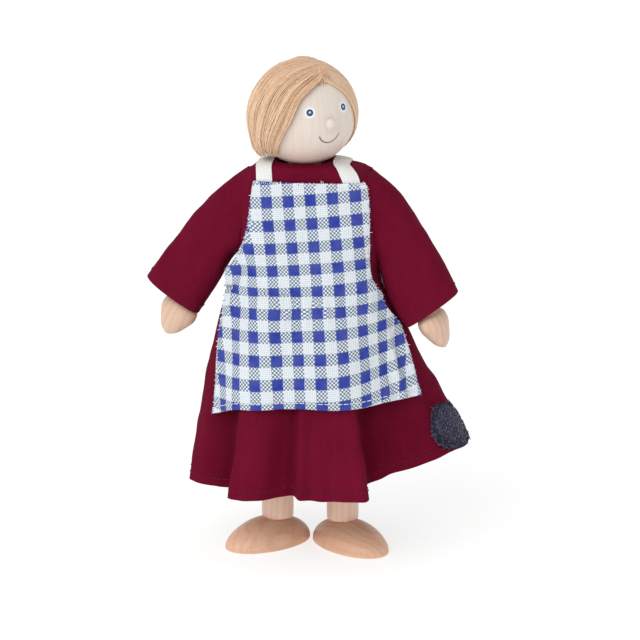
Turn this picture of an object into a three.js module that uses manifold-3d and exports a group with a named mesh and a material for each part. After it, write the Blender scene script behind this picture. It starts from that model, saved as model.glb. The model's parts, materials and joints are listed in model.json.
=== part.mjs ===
import * as THREE from "three";
import { mergeVertices } from "three/addons/utils/BufferGeometryUtils.js";
import Module from "manifold-3d";

// A small wooden doll on dowel joints, in a cloth dress with a bib apron.
// It faces -Y, its left hand is at +X, and it stands on the floor at z = 0.
// Lengths are in millimetres and angles in degrees.

// Head
const HEAD_DIAMETER = 25;
const HEAD_TURN = 36;
const NOSE_DIAMETER = 2.8;
const NOSE_PEG_DIAMETER = 1.6;
const NOSE_PEG_LENGTH = 2.6;
const NECK_DIAMETER = 8;
const NECK_SHOWN = 3.6;
const NECK_OFFSET = -1.3;
const NECK_IN_HEAD = 8;
const NECK_IN_TORSO = 9;

// Hair: how far it stands off the head, and how low its edge comes round from the middle of the face
const HAIR_THICKNESS = 1.5;
const HAIR_STRANDS = 24;
const STRAND_DEPTH = 0.3;
const HAIR_EDGE = [
  { bearing: 0, latitude: 51 },
  { bearing: 35, latitude: 27 },
  { bearing: 50, latitude: -2 },
  { bearing: 74, latitude: -41 },
  { bearing: 115, latitude: -43 },
  { bearing: 180, latitude: -40 },
];

// Torso
const TORSO_WIDTH = 22;
const TORSO_WAIST_WIDTH = 19;
const TORSO_DEPTH = 12;
const TORSO_HEIGHT = 34;
const TORSO_CORNER = 4;
const TORSO_EDGE = 2.5;

// Arms and hands
const SHOULDER_DROP = 4.2;
const SHOULDER_PEG_DIAMETER = 3;
const SHOULDER_PEG_IN_TORSO = 5.5;
const SHOULDER_BALL_DIAMETER = 8;
const ARM_DIAMETER = 6;
const ARM_LENGTH = 31.5;
const RIGHT_ARM_SPLAY = 30;
const LEFT_ARM_SPLAY = 26;
const WRIST_PEG_DIAMETER = 3;
const WRIST_PEG_LENGTH = 4;
const HAND_WIDTH = 9.6;
const HAND_THICKNESS = 6.4;
const HAND_LENGTH = 9.6;
const HAND_OUTLINE = [
  { width: 0.68, along: 0 },
  { width: 0.97, along: 0.15 },
  { width: 1, along: 0.31 },
  { width: 0.76, along: 0.61 },
  { width: 0.42, along: 0.89 },
  { width: 0, along: 1 },
];
const RIGHT_HAND_TURN = 12;
const LEFT_HAND_TURN = 62;

// Legs and feet
const HIP_HEIGHT = 55;
const HIP_DOWEL_DIAMETER = 3.5;
const LEG_DIAMETER = 8;
const LEG_SPREAD = 8.2;
const ANKLE_PEG_DIAMETER = 5;
const ANKLE_PEG_LENGTH = 5;
const FOOT_LENGTH = 24;
const FOOT_WIDTH = 14;
const FOOT_HEIGHT = 8;
const FOOT_REACH = 3;
const FOOT_TURN = 48;
const SOLE_SINK = 0.58;
const FOOT_WAIST = 0.26;
const TOE_FALL = 0.3;

// Clearances: between turning wood, in a dowel's bore, and between cloth and what it lies on
const JOINT_GAP = 0.4;
const BORE_GAP = 0.2;
const CLOTH_GAP = 0.35;
const APRON_GAP = 0.6;

// Dress: the levels of the bodice from the neckline down, each as a height above the torso's top,
// and the skirt, whose hem is a ring of ridges and valleys with a bearing, a reach and a height
const CLOTH = 0.6;
const DRESS_SQUARENESS = 2.6;
const WAIST_HEIGHT = 66.5;
const ARMHOLE_DEPTH = 20.5;
const BODICE_LEVELS = [
  { rise: 4.6, halfWidth: 8, halfDepth: 6.6 },
  { rise: 4.1, halfWidth: 11, halfDepth: 7.9 },
  { rise: 1, halfWidth: 17.4, halfDepth: 8.8 },
  { rise: -8, halfWidth: 18.4, halfDepth: 9.4 },
  { rise: -ARMHOLE_DEPTH, halfWidth: 17.1, halfDepth: 9.8 },
  { rise: WAIST_HEIGHT, halfWidth: 18.4, halfDepth: 10.8, fromFloor: true },
];
const ARMHOLE_TOP = 14.6;
const ARMHOLE_BOTTOM = 17;
const SKIRT_FLARE_RIGHT = 0.58;
const SKIRT_FLARE_LEFT = 1.05;
const SKIRT_FOLDS = [
  { bearing: -180, reach: 25, height: 18 },
  { bearing: -158, reach: 27.5, height: 17.5 },
  { bearing: -136, reach: 24.5, height: 17.5 },
  { bearing: -113, reach: 29.5, height: 17 },
  { bearing: -90, reach: 30.6, height: 16.7 },
  { bearing: -72, reach: 26.5, height: 16.9 },
  { bearing: -58, reach: 21.5, height: 17.4 },
  { bearing: -36, reach: 27.2, height: 17.8 },
  { bearing: -8, reach: 23.6, height: 19.4 },
  { bearing: 34, reach: 29, height: 19.4 },
  { bearing: 48, reach: 21.4, height: 20.6 },
  { bearing: 97, reach: 39.6, height: 27.6 },
  { bearing: 125, reach: 28.5, height: 22.5 },
  { bearing: 150, reach: 28, height: 19 },
  { bearing: 180, reach: 25, height: 18 },
];

// Sleeves: a tapering tube from the armhole to a wide square hem
const SLEEVE_TOP_HALF_DEPTH = 5.8;
const SLEEVE_RISE = 2;
const SLEEVE_EASE = 1.2;
const SLEEVE_NARROW = 5.6;
const SLEEVE_BEND_OUT = 5.6;
const SLEEVE_BEND_DROP = 3.9;
const SLEEVE_HEM_HALF_WIDTH = 7.6;
const SLEEVE_HEM_HALF_DEPTH = 5.2;
const SLEEVE_HEM_SLOPE = 36;
const RIGHT_SLEEVE = { splay: 35, wristShown: 0.6 };
const LEFT_SLEEVE = { splay: 27, wristShown: 0.3 };

// Apron: its rows are levels of the dress, with the reach to each side
const APRON_ROWS = [
  { level: 2.06, right: 12.3, left: 13.6 },
  { level: 2.3, right: 12.7, left: 14.2 },
  { level: 3, right: 13.6, left: 15.2 },
  { level: 4, right: 15.2, left: 15.6 },
  { level: 4.5, right: 16.2, left: 17 },
  { level: 5, right: 17.6, left: 18.1 },
  { level: 5.25, right: 20, left: 22.2 },
  { level: 5.58, right: 22.8, left: 28 },
];
const TAPE_WIDTH = 4;
const TAPE_LEVEL = 4.68;
const TAPE_END_GAP = 3.4;
const TAPE_LANES = [-0.5, -0.25, 0, 0.25, 0.5];
const STRAP_SHOULDER_LEVEL = 0.8;
const STRAP_LIFT_RATE = 4;
const STRAP_BACK_LEVEL = 2;
const STRAP_SEWN = 0.05;
const BOW_LOOP_LENGTH = 9;
const BOW_LOOP_DEPTH = 3.4;
const BOW_KNOT_WIDTH = 3.6;
const BOW_LOOP_DROOP = 12;
const BOW_KNOT_DEPTH = 2.9;
const BOW_KNOT_HEIGHT = 4.5;
const BOW_TAIL_LEVEL = 5.42;
const BOW_TAIL_START = 2;
const BOW_TAIL_SPREAD = 17;

// Knitted patch sewn on the skirt's left side
const PATCH_BEARING = 86;
const PATCH_LEVEL = 5.82;
const PATCH_DIAMETER = 10.5;

// Facets of round pieces, and rows of cloth: shares of the way down a sleeve or a skirt
const FINE_SIDES = 28;
const ROUND_SIDES = 18;
const PIN_SIDES = 12;
const SKIRT_COLUMNS = 84;
const SKIRT_ROWS = [0.012, 0.14, 0.3, 0.48, 0.66, 0.84, 1];
const BODICE_COLUMNS = 40;
const BODICE_ROWS = [0, 0.5, 1, 1.5, 2, 2.5, 3, 4, 4.985];
const SLEEVE_COLUMNS = 24;
const SLEEVE_ROWS = [0, 0.18, 0.36, 0.54, 0.72, 0.88, 1];
const APRON_COLUMNS = 29;
const TAPE_STEPS = 28;
const TAPE_STRIDES = 12;
const STRAP_FRONT_STEPS = 8;

// Heights and places that follow from the sizes above
const headRadius = HEAD_DIAMETER / 2;
const legRadius = LEG_DIAMETER / 2;
const shoulderBallRadius = SHOULDER_BALL_DIAMETER / 2;
const torsoBottom = HIP_HEIGHT + legRadius + JOINT_GAP;
const torsoTop = torsoBottom + TORSO_HEIGHT;
const shoulderHeight = torsoTop - SHOULDER_DROP;
const shoulderSpread = TORSO_WIDTH / 2 + JOINT_GAP + shoulderBallRadius;
const headHeight = torsoTop + NECK_SHOWN + headRadius;
const keelWidth = 2 * (LEG_SPREAD - legRadius - JOINT_GAP);

const wasm = await Module();
wasm.setup();

const rad = THREE.MathUtils.degToRad;
const lerp = THREE.MathUtils.lerp;
const vec = (x, y, z) => new THREE.Vector3(x, y, z);

// A closed geometry as a solid that can be joined and cut.
function solid(geometry) {
  const bare = geometry.clone();
  bare.deleteAttribute("normal");
  bare.deleteAttribute("uv");
  const merged = mergeVertices(bare, 1e-4);
  return new wasm.Manifold(
    new wasm.Mesh({
      numProp: 3,
      vertProperties: new Float32Array(merged.attributes.position.array),
      triVerts: new Uint32Array(merged.index.array),
    }),
  );
}

// A solid as a geometry again, with flat shading left to the normals.
function geometryOf(made) {
  const mesh = made.getMesh();
  const geometry = new THREE.BufferGeometry();
  geometry.setAttribute("position", new THREE.BufferAttribute(mesh.vertProperties, 3));
  geometry.setIndex(new THREE.BufferAttribute(mesh.triVerts, 1));
  geometry.computeVertexNormals();
  return geometry;
}

// A geometry from points and triangles.
function facets(points, triangles) {
  const geometry = new THREE.BufferGeometry().setFromPoints(points);
  geometry.setIndex(triangles);
  geometry.computeVertexNormals();
  return geometry;
}

// A tube wall through closed rings of points, outside first and then back along the inside.
function ringWall(rings) {
  const sides = rings[0].length;
  const triangles = [];
  rings.forEach((ring, i) => {
    const next = ((i + 1) % rings.length) * sides;
    ring.forEach((point, j) => {
      const k = (j + 1) % sides;
      const a = i * sides + j;
      const b = i * sides + k;
      triangles.push(a, next + j, b, b, next + j, next + k);
    });
  });
  return facets(rings.flat(), triangles);
}

// A sheet between two grids of points, its face and its back, closed round the four edges.
function sheet(face, back) {
  const rows = face.length;
  const columns = face[0].length;
  const size = rows * columns;
  const triangles = [];
  const quad = (a, b, c, d) => triangles.push(a, b, c, a, c, d);
  for (let i = 0; i + 1 < rows; i++) {
    for (let j = 0; j + 1 < columns; j++) {
      const a = i * columns + j;
      const b = a + columns;
      quad(a, b, b + 1, a + 1);
      quad(size + a, size + a + 1, size + b + 1, size + b);
    }
    const left = i * columns;
    const right = left + columns - 1;
    quad(left, size + left, size + left + columns, left + columns);
    quad(right, right + columns, size + right + columns, size + right);
  }
  for (let j = 0; j + 1 < columns; j++) {
    const foot = (rows - 1) * columns + j;
    quad(j, j + 1, size + j + 1, size + j);
    quad(foot, size + foot, size + foot + 1, foot + 1);
  }
  return facets([...face.flat(), ...back.flat()], triangles);
}

// A round bar along Z from one height to another.
function bar(diameter, low, high, sides) {
  const geometry = new THREE.CylinderGeometry(diameter / 2, diameter / 2, high - low, sides);
  return geometry.rotateX(Math.PI / 2).translate(0, 0, (low + high) / 2);
}

// A round bar along X, centred.
function crossBar(diameter, length, sides) {
  return bar(diameter, -length / 2, length / 2, sides).rotateY(Math.PI / 2);
}

const materials = {
  paleWood: new THREE.MeshStandardMaterial({ color: 0xe8dcc8, roughness: 0.55 }),
  tanWood: new THREE.MeshStandardMaterial({ color: 0xcfa584, roughness: 0.55 }),
  yarn: new THREE.MeshStandardMaterial({ color: 0xe6c08c, roughness: 0.95 }),
  dressCloth: new THREE.MeshStandardMaterial({ color: 0x6c122a, roughness: 0.95 }),
  gingham: new THREE.MeshStandardMaterial({ color: 0x8f99cf, roughness: 0.95 }),
  tape: new THREE.MeshStandardMaterial({ color: 0xeeeeea, roughness: 0.9 }),
  navyKnit: new THREE.MeshStandardMaterial({ color: 0x23263c, roughness: 0.95 }),
};

function part(name, geometry, material) {
  const mesh = new THREE.Mesh(geometry, material);
  mesh.name = name;
  return mesh;
}

// Torso: a rounded block with a keel below it that stands between the legs
function torso() {
  const half = TORSO_WIDTH / 2;
  const waist = TORSO_WAIST_WIDTH / 2;
  const keel = keelWidth / 2;
  const shape = new THREE.Shape();
  shape.moveTo(keel, torsoBottom);
  shape.lineTo(waist, torsoBottom);
  shape.lineTo(half, torsoTop - TORSO_CORNER);
  shape.absarc(half - TORSO_CORNER, torsoTop - TORSO_CORNER, TORSO_CORNER, 0, Math.PI / 2);
  shape.absarc(TORSO_CORNER - half, torsoTop - TORSO_CORNER, TORSO_CORNER, Math.PI / 2, Math.PI);
  shape.lineTo(-waist, torsoBottom);
  shape.lineTo(-keel, torsoBottom);
  shape.lineTo(-keel, HIP_HEIGHT);
  shape.absarc(0, HIP_HEIGHT, keel, Math.PI, 2 * Math.PI);
  const block = new THREE.ExtrudeGeometry(shape, {
    depth: TORSO_DEPTH - 2 * TORSO_EDGE,
    bevelEnabled: true,
    bevelThickness: TORSO_EDGE,
    bevelSize: TORSO_EDGE / 2,
    bevelOffset: -TORSO_EDGE / 2,
    bevelSegments: 2,
    curveSegments: 6,
  });
  block.translate(0, 0, TORSO_EDGE - TORSO_DEPTH / 2).rotateX(Math.PI / 2);
  const neckFloor = torsoTop - NECK_IN_TORSO - BORE_GAP;
  const neckBore = bar(NECK_DIAMETER + 2 * BORE_GAP, neckFloor, 2 * torsoTop, ROUND_SIDES);
  neckBore.translate(NECK_OFFSET, 0, 0);
  const hipBore = crossBar(HIP_DOWEL_DIAMETER + 2 * BORE_GAP, 2 * TORSO_WIDTH, PIN_SIDES);
  let made = solid(block)
    .subtract(solid(neckBore))
    .subtract(solid(hipBore.translate(0, 0, HIP_HEIGHT)));
  for (const side of [-1, 1]) {
    const bore = crossBar(SHOULDER_PEG_DIAMETER + 2 * BORE_GAP, TORSO_WIDTH, PIN_SIDES);
    const centre = TORSO_WIDTH - SHOULDER_PEG_IN_TORSO - BORE_GAP;
    made = made.subtract(solid(bore.translate(side * centre, 0, shoulderHeight)));
  }
  return part("torso", geometryOf(made), materials.paleWood);
}

// Head: a turned ball on the neck dowel, with a nose peg and a cap of yarn hair
function headBall() {
  const ball = new THREE.SphereGeometry(headRadius, FINE_SIDES, FINE_SIDES / 2);
  const neckRoof = NECK_IN_HEAD + BORE_GAP - headRadius;
  const neckBore = bar(NECK_DIAMETER + 2 * BORE_GAP, -HEAD_DIAMETER, neckRoof, ROUND_SIDES);
  const noseFloor = headRadius - NOSE_PEG_LENGTH - BORE_GAP;
  const noseBore = bar(NOSE_PEG_DIAMETER + 2 * BORE_GAP, noseFloor, HEAD_DIAMETER, PIN_SIDES);
  const made = solid(ball.rotateX(Math.PI / 2))
    .subtract(solid(neckBore))
    .subtract(solid(noseBore.rotateX(Math.PI / 2)));
  return part("head_ball", geometryOf(made), materials.paleWood);
}

// The nose is a half ball whose flat back meets the head, with a stem in the head's bore.
function nosePeg() {
  const radius = NOSE_DIAMETER / 2;
  const stem = NOSE_PEG_DIAMETER / 2;
  const profile = [
    new THREE.Vector2(0, -NOSE_PEG_LENGTH),
    new THREE.Vector2(stem, -NOSE_PEG_LENGTH),
    new THREE.Vector2(stem, BORE_GAP),
  ];
  const steps = 6;
  for (let i = 0; i <= steps; i++) {
    const turn = (i / steps) * (Math.PI / 2);
    profile.push(new THREE.Vector2(radius * Math.cos(turn), BORE_GAP + radius * Math.sin(turn)));
  }
  profile[profile.length - 1].x = 0;
  const peg = new THREE.LatheGeometry(profile, PIN_SIDES);
  peg.rotateX(Math.PI).translate(0, -headRadius, 0);
  return part("nose_peg", peg, materials.paleWood);
}

// How low the hair's edge comes at a bearing from the middle of the face.
function hairEdge(bearing) {
  const turn = Math.abs(bearing);
  const next = Math.max(1, HAIR_EDGE.findIndex((stop) => stop.bearing >= turn));
  const [a, b] = [HAIR_EDGE[next - 1], HAIR_EDGE[next]];
  return lerp(a.latitude, b.latitude, (turn - a.bearing) / (b.bearing - a.bearing));
}

// Hair: a thick cap with combed grooves, open over the face, thinner along the parting.
function yarnHair() {
  const columns = 2 * HAIR_STRANDS;
  const rows = 7;
  const inner = headRadius + CLOTH_GAP;
  const at = (bearing, latitude, reach) =>
    vec(
      reach * Math.cos(rad(latitude)) * Math.sin(rad(bearing)),
      -reach * Math.cos(rad(latitude)) * Math.cos(rad(bearing)),
      reach * Math.sin(rad(latitude)),
    );
  const points = [vec(0, 0, inner + HAIR_THICKNESS - STRAND_DEPTH), vec(0, 0, inner)];
  for (let i = 1; i <= rows; i++) {
    for (let j = 0; j < columns; j++) {
      const bearing = (360 * j) / columns - 180;
      const latitude = lerp(90, hairEdge(bearing), i / rows);
      const groove = j % 2 === 0 ? STRAND_DEPTH : 0;
      points.push(at(bearing, latitude, inner + HAIR_THICKNESS - groove));
      points.push(at(bearing, latitude, inner));
    }
  }
  const index = (i, j, side) => 2 + 2 * ((i - 1) * columns + (j % columns)) + side;
  const triangles = [];
  for (let j = 0; j < columns; j++) {
    triangles.push(0, index(1, j, 0), index(1, j + 1, 0));
    triangles.push(1, index(1, j + 1, 1), index(1, j, 1));
    for (let i = 1; i < rows; i++) {
      const [a, b] = [index(i, j, 0), index(i, j + 1, 0)];
      const [c, d] = [index(i + 1, j, 0), index(i + 1, j + 1, 0)];
      triangles.push(a, c, b, b, c, d);
      triangles.push(a + 1, b + 1, c + 1, b + 1, d + 1, c + 1);
    }
    const [a, b] = [index(rows, j, 0), index(rows, j + 1, 0)];
    triangles.push(a, a + 1, b, b, a + 1, b + 1);
  }
  return part("yarn_hair", facets(points, triangles), materials.yarn);
}

// Shoulder peg: glued in the torso's side, it carries the ball of the arm
function shoulderPeg(label, side) {
  const inner = TORSO_WIDTH / 2 - SHOULDER_PEG_IN_TORSO;
  const outer = shoulderSpread + shoulderBallRadius - JOINT_GAP;
  const peg = crossBar(SHOULDER_PEG_DIAMETER, outer - inner, PIN_SIDES);
  peg.translate((side * (inner + outer)) / 2, 0, shoulderHeight);
  return part(`${label}_shoulder_peg`, peg, materials.paleWood);
}

// Arms: a ball at the shoulder, bored for the shoulder peg, and a straight dowel to the wrist peg
function arm(name, side, splay) {
  const ball = new THREE.SphereGeometry(shoulderBallRadius, ROUND_SIDES, 10).rotateX(Math.PI / 2);
  const dowel = bar(ARM_DIAMETER, -ARM_LENGTH, 0, ROUND_SIDES);
  const peg = bar(WRIST_PEG_DIAMETER, -ARM_LENGTH - WRIST_PEG_LENGTH, -ARM_LENGTH, PIN_SIDES);
  const limb = solid(dowel).add(solid(peg.translate(0, 0, BORE_GAP)));
  const splayed = solid(geometryOf(limb).rotateY(-side * rad(splay)));
  const bore = crossBar(SHOULDER_PEG_DIAMETER + 2 * BORE_GAP, 4 * shoulderBallRadius, PIN_SIDES);
  const made = splayed.add(solid(ball)).subtract(solid(bore));
  return part(name, geometryOf(made), materials.paleWood);
}

// Hand: a flattened drop that narrows from the wrist to a round tip, with a socket for the peg
function hand(name) {
  const half = HAND_WIDTH / 2;
  const drop = new THREE.SplineCurve(
    HAND_OUTLINE.map(({ width, along }) => new THREE.Vector2(width * half, -along * HAND_LENGTH)),
  );
  const profile = [new THREE.Vector2(0, 0), ...drop.getPoints(10)].reverse();
  profile[0].x = 0;
  const body = new THREE.LatheGeometry(profile, ROUND_SIDES).rotateX(Math.PI / 2);
  body.scale(1, HAND_THICKNESS / HAND_WIDTH, 1);
  const socketFloor = -WRIST_PEG_LENGTH - BORE_GAP;
  const socket = bar(WRIST_PEG_DIAMETER + 2 * BORE_GAP, socketFloor, HAND_LENGTH, PIN_SIDES);
  return part(name, geometryOf(solid(body).subtract(solid(socket))), materials.tanWood);
}

// Legs: a dowel with a domed top, bored for the hip dowel, and a peg in the foot
function leg(name) {
  const dowel = bar(LEG_DIAMETER, FOOT_HEIGHT + JOINT_GAP - HIP_HEIGHT, 0, ROUND_SIDES);
  const dome = new THREE.SphereGeometry(legRadius, ROUND_SIDES, 10).rotateX(Math.PI / 2);
  const pegFoot = FOOT_HEIGHT - ANKLE_PEG_LENGTH - HIP_HEIGHT;
  const peg = bar(ANKLE_PEG_DIAMETER, pegFoot, pegFoot + 2 * ANKLE_PEG_LENGTH, PIN_SIDES);
  const bore = crossBar(HIP_DOWEL_DIAMETER + 2 * BORE_GAP, 2 * LEG_DIAMETER, PIN_SIDES);
  const made = solid(dowel).add(solid(dome)).add(solid(peg)).subtract(solid(bore));
  return part(name, geometryOf(made), materials.paleWood);
}

// Foot: a smooth bean with a flat sole, highest at the ankle and lower towards the toe
function foot(name) {
  const bean = new THREE.SphereGeometry(1, ROUND_SIDES + 4, 14).rotateX(Math.PI / 2);
  const place = bean.attributes.position;
  const waistHeight = FOOT_WAIST * FOOT_HEIGHT;
  for (let i = 0; i < place.count; i++) {
    const [x, y, z] = [place.getX(i), place.getY(i), place.getZ(i)];
    const toe = Math.max(0, -y);
    const top = waistHeight + (FOOT_HEIGHT - waistHeight) * z * (1 - TOE_FALL * toe * toe);
    const under = waistHeight * (1 + z / SOLE_SINK);
    const height = z > 0 ? top : Math.max(0, under);
    place.setXYZ(i, (x * FOOT_WIDTH) / 2, (y * FOOT_LENGTH) / 2 - FOOT_REACH, height);
  }
  const socketFoot = FOOT_HEIGHT - ANKLE_PEG_LENGTH - BORE_GAP;
  const socket = bar(ANKLE_PEG_DIAMETER + 2 * BORE_GAP, socketFoot, 2 * FOOT_HEIGHT, PIN_SIDES);
  const seat = bar(LEG_DIAMETER + 2 * JOINT_GAP, FOOT_HEIGHT, 2 * FOOT_HEIGHT, ROUND_SIDES);
  const made = solid(bean).subtract(solid(socket)).subtract(solid(seat));
  return part(name, geometryOf(made), materials.tanWood);
}

// The dress as one surface: whole levels are the bodice's rings, and the last step is the skirt.
const lastLevel = BODICE_LEVELS.length - 1;
const levelHeight = ({ rise, fromFloor }) => (fromFloor ? rise : torsoTop + rise);

// The reach of a rounded outline at a bearing from the front.
function outlineReach(halfWidth, halfDepth, bearing) {
  const across = Math.abs(Math.sin(bearing) / halfWidth) ** DRESS_SQUARENESS;
  const along = Math.abs(Math.cos(bearing) / halfDepth) ** DRESS_SQUARENESS;
  return (across + along) ** (-1 / DRESS_SQUARENESS);
}

// The hem's reach and height at a bearing, easing from each ridge to the next valley.
function hemAt(bearing) {
  const turned = THREE.MathUtils.radToDeg(bearing) + 180;
  const degrees = THREE.MathUtils.euclideanModulo(turned, 360) - 180;
  const next = Math.max(1, SKIRT_FOLDS.findIndex((fold) => fold.bearing >= degrees));
  const [a, b] = [SKIRT_FOLDS[next - 1], SKIRT_FOLDS[next]];
  const ease = 0.5 - 0.5 * Math.cos((Math.PI * (degrees - a.bearing)) / (b.bearing - a.bearing));
  return { reach: lerp(a.reach, b.reach, ease), height: lerp(a.height, b.height, ease) };
}

// A point of the dress's outer face.
function dressPoint(level, bearing) {
  const i = Math.min(Math.floor(level), lastLevel);
  const a = BODICE_LEVELS[i];
  let reach = outlineReach(a.halfWidth, a.halfDepth, bearing);
  let height = levelHeight(a);
  const t = level - i;
  if (i === lastLevel) {
    const hem = hemAt(bearing);
    const flare = lerp(SKIRT_FLARE_RIGHT, SKIRT_FLARE_LEFT, 0.5 + 0.5 * Math.sin(bearing));
    reach = lerp(reach, hem.reach, t ** flare);
    height = lerp(height, hem.height, t);
  } else if (t > 0) {
    const b = BODICE_LEVELS[i + 1];
    const halfWidth = lerp(a.halfWidth, b.halfWidth, t);
    reach = outlineReach(halfWidth, lerp(a.halfDepth, b.halfDepth, t), bearing);
    height = lerp(height, levelHeight(b), t);
  }
  return vec(reach * Math.sin(bearing), -reach * Math.cos(bearing), height);
}

// The dress's outward normal, from points a little to each side.
function dressNormal(level, bearing) {
  const step = 0.01;
  const upper = Math.max(0, level - step);
  const lower = Math.min(lastLevel + 1, level + step);
  const down = dressPoint(lower, bearing).sub(dressPoint(upper, bearing));
  const round = dressPoint(level, bearing + step).sub(dressPoint(level, bearing - step));
  return down.cross(round).normalize();
}

// A point at some distance out from the dress.
function offDress(level, bearing, distance) {
  return dressPoint(level, bearing).addScaledVector(dressNormal(level, bearing), distance);
}

function dressRing(level, columns, distance) {
  const turn = (2 * Math.PI) / columns;
  return Array.from({ length: columns }, (_, j) => offDress(level, turn * j, distance));
}

// A shell of the dress between two levels, as thick as the cloth.
function dressShell(levels, columns) {
  const outside = levels.map((level) => dressRing(level, columns, 0));
  const inside = levels.map((level) => dressRing(level, columns, -CLOTH));
  return ringWall([...outside, ...inside.reverse()]);
}

// Bodice: open at the neck, at the waist and at the two armholes
function dressBodice() {
  const shell = dressShell(BODICE_ROWS, BODICE_COLUMNS);
  let made = solid(shell);
  const size = 4 * TORSO_WIDTH;
  for (const side of [-1, 1]) {
    const outer = new THREE.Shape();
    outer.moveTo(side * ARMHOLE_TOP, torsoTop + BODICE_LEVELS[0].rise);
    outer.lineTo(side * ARMHOLE_BOTTOM, torsoTop - ARMHOLE_DEPTH);
    outer.lineTo(side * size, torsoTop - ARMHOLE_DEPTH);
    outer.lineTo(side * size, torsoTop + BODICE_LEVELS[0].rise);
    const block = new THREE.ExtrudeGeometry(outer, { depth: size, bevelEnabled: false });
    block.rotateX(Math.PI / 2).translate(0, size / 2, 0);
    made = made.subtract(solid(block));
  }
  return part("dress_bodice", geometryOf(made), materials.dressCloth);
}

// Skirt: an open bell whose folds grow from nothing at the waist to the wavy hem
function dressSkirt() {
  const levels = SKIRT_ROWS.map((t) => lastLevel + t);
  return part("dress_skirt", dressShell(levels, SKIRT_COLUMNS), materials.dressCloth);
}

// Sleeve: rings that turn from the slanting armhole to the square hem of a hanging tube
function sleeve(name, side, { splay, wristShown }) {
  const length = ARM_LENGTH - wristShown;
  const top = vec(side * ARMHOLE_TOP, 0, torsoTop + BODICE_LEVELS[0].rise);
  const bottom = vec(side * ARMHOLE_BOTTOM, 0, torsoTop - ARMHOLE_DEPTH);
  const up = top.clone().sub(bottom).normalize();
  const out = vec(side * up.z, 0, -side * up.x);
  const crown = shoulderHeight + shoulderBallRadius + SLEEVE_EASE + CLOTH;
  const low = bottom.clone().addScaledVector(up, SLEEVE_RISE);
  const high = bottom.clone().lerp(top, (crown - bottom.z) / (top.z - bottom.z));
  const start = low.clone().add(high).multiplyScalar(0.5).addScaledVector(out, CLOTH_GAP);
  const startHalf = low.distanceTo(high) / 2;
  const hang = rad(splay);
  const shoulder = vec(side * shoulderSpread, 0, shoulderHeight);
  const end = vec(side * length * Math.sin(hang), 0, -length * Math.cos(hang)).add(shoulder);
  const hemUp = vec(side * Math.cos(rad(SLEEVE_HEM_SLOPE)), 0, Math.sin(rad(SLEEVE_HEM_SLOPE)));
  const bend = vec(side * SLEEVE_BEND_OUT, 0, -SLEEVE_BEND_DROP).add(shoulder);
  const line = new THREE.QuadraticBezierCurve3(start, bend, end);
  const widths = new THREE.QuadraticBezierCurve(
    new THREE.Vector2(0, startHalf),
    new THREE.Vector2(0.5, SLEEVE_NARROW),
    new THREE.Vector2(1, SLEEVE_HEM_HALF_WIDTH),
  );
  const ring = (t, inset) => {
    const centre = line.getPoint(t);
    const across = up.clone().lerp(hemUp, t).normalize();
    const half = widths.getPoint(t).y - inset;
    const depth = lerp(SLEEVE_TOP_HALF_DEPTH, SLEEVE_HEM_HALF_DEPTH, t) - inset;
    return Array.from({ length: SLEEVE_COLUMNS }, (_, j) => {
      const turn = (2 * Math.PI * j * side) / SLEEVE_COLUMNS;
      const reach = outlineReach(depth, half, turn);
      const point = centre.clone().addScaledVector(across, reach * Math.cos(turn));
      return point.add(vec(0, reach * Math.sin(turn), 0));
    });
  };
  const outside = SLEEVE_ROWS.map((t) => ring(t, 0));
  const inside = SLEEVE_ROWS.map((t) => ring(t, CLOTH)).reverse();
  return part(name, ringWall([...outside, ...inside]), materials.dressCloth);
}

// The bearing at which a level of the dress reaches a given distance to one side.
function bearingAt(level, reach, side) {
  let low = 0;
  let high = Math.PI / 2;
  for (let i = 0; i < 30; i++) {
    const middle = (low + high) / 2;
    if (Math.abs(dressPoint(level, side * middle).x) < reach) low = middle;
    else high = middle;
  }
  return side * low;
}

// A strip or sheet of cloth on the dress, from a grid of level and bearing and each row's lift off it.
function clothOnDress(places, lifts) {
  const grid = (thickness) =>
    places.map((row, i) =>
      row.map(([level, bearing]) => offDress(level, bearing, lifts[i] + thickness)),
    );
  return sheet(grid(CLOTH), grid(0));
}

// Apron: a bib that widens below the waist, lying on the front of the dress
function apronPlaces() {
  const rowsBetween = 3;
  const rows = [];
  for (let i = 0; i + 1 < APRON_ROWS.length; i++) {
    const steps = i + 2 === APRON_ROWS.length ? rowsBetween + 1 : rowsBetween;
    for (let k = 0; k < steps; k++) {
      const t = k / rowsBetween;
      const [a, b] = [APRON_ROWS[i], APRON_ROWS[i + 1]];
      const level = lerp(a.level, b.level, t);
      const right = bearingAt(level, lerp(a.right, b.right, t), -1);
      const left = bearingAt(level, lerp(a.left, b.left, t), 1);
      const across = (j) => lerp(right, left, j / (APRON_COLUMNS - 1));
      rows.push(Array.from({ length: APRON_COLUMNS }, (_, j) => [level, across(j)]));
    }
  }
  return rows;
}

function apron() {
  const places = apronPlaces();
  const lifts = places.map(() => APRON_GAP);
  return part("apron", clothOnDress(places, lifts), materials.gingham);
}

// The place on the dress that lies a short move away from another, reached in small steps.
function movedOnDress(level, bearing, move) {
  const step = 0.01;
  const stride = move.clone().divideScalar(TAPE_STRIDES);
  let place = [level, bearing];
  for (let i = 0; i < TAPE_STRIDES; i++) {
    const [at, turn] = place;
    const down = dressPoint(at + step, turn).sub(dressPoint(at - step, turn));
    const round = dressPoint(at, turn + step).sub(dressPoint(at, turn - step));
    down.divideScalar(2 * step);
    round.divideScalar(2 * step);
    const [dd, dr, rr] = [down.dot(down), down.dot(round), round.dot(round)];
    const [md, mr] = [stride.dot(down), stride.dot(round)];
    const scale = dd * rr - dr * dr;
    place = [at + (md * rr - mr * dr) / scale, turn + (mr * dd - md * dr) / scale];
  }
  return place;
}

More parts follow.
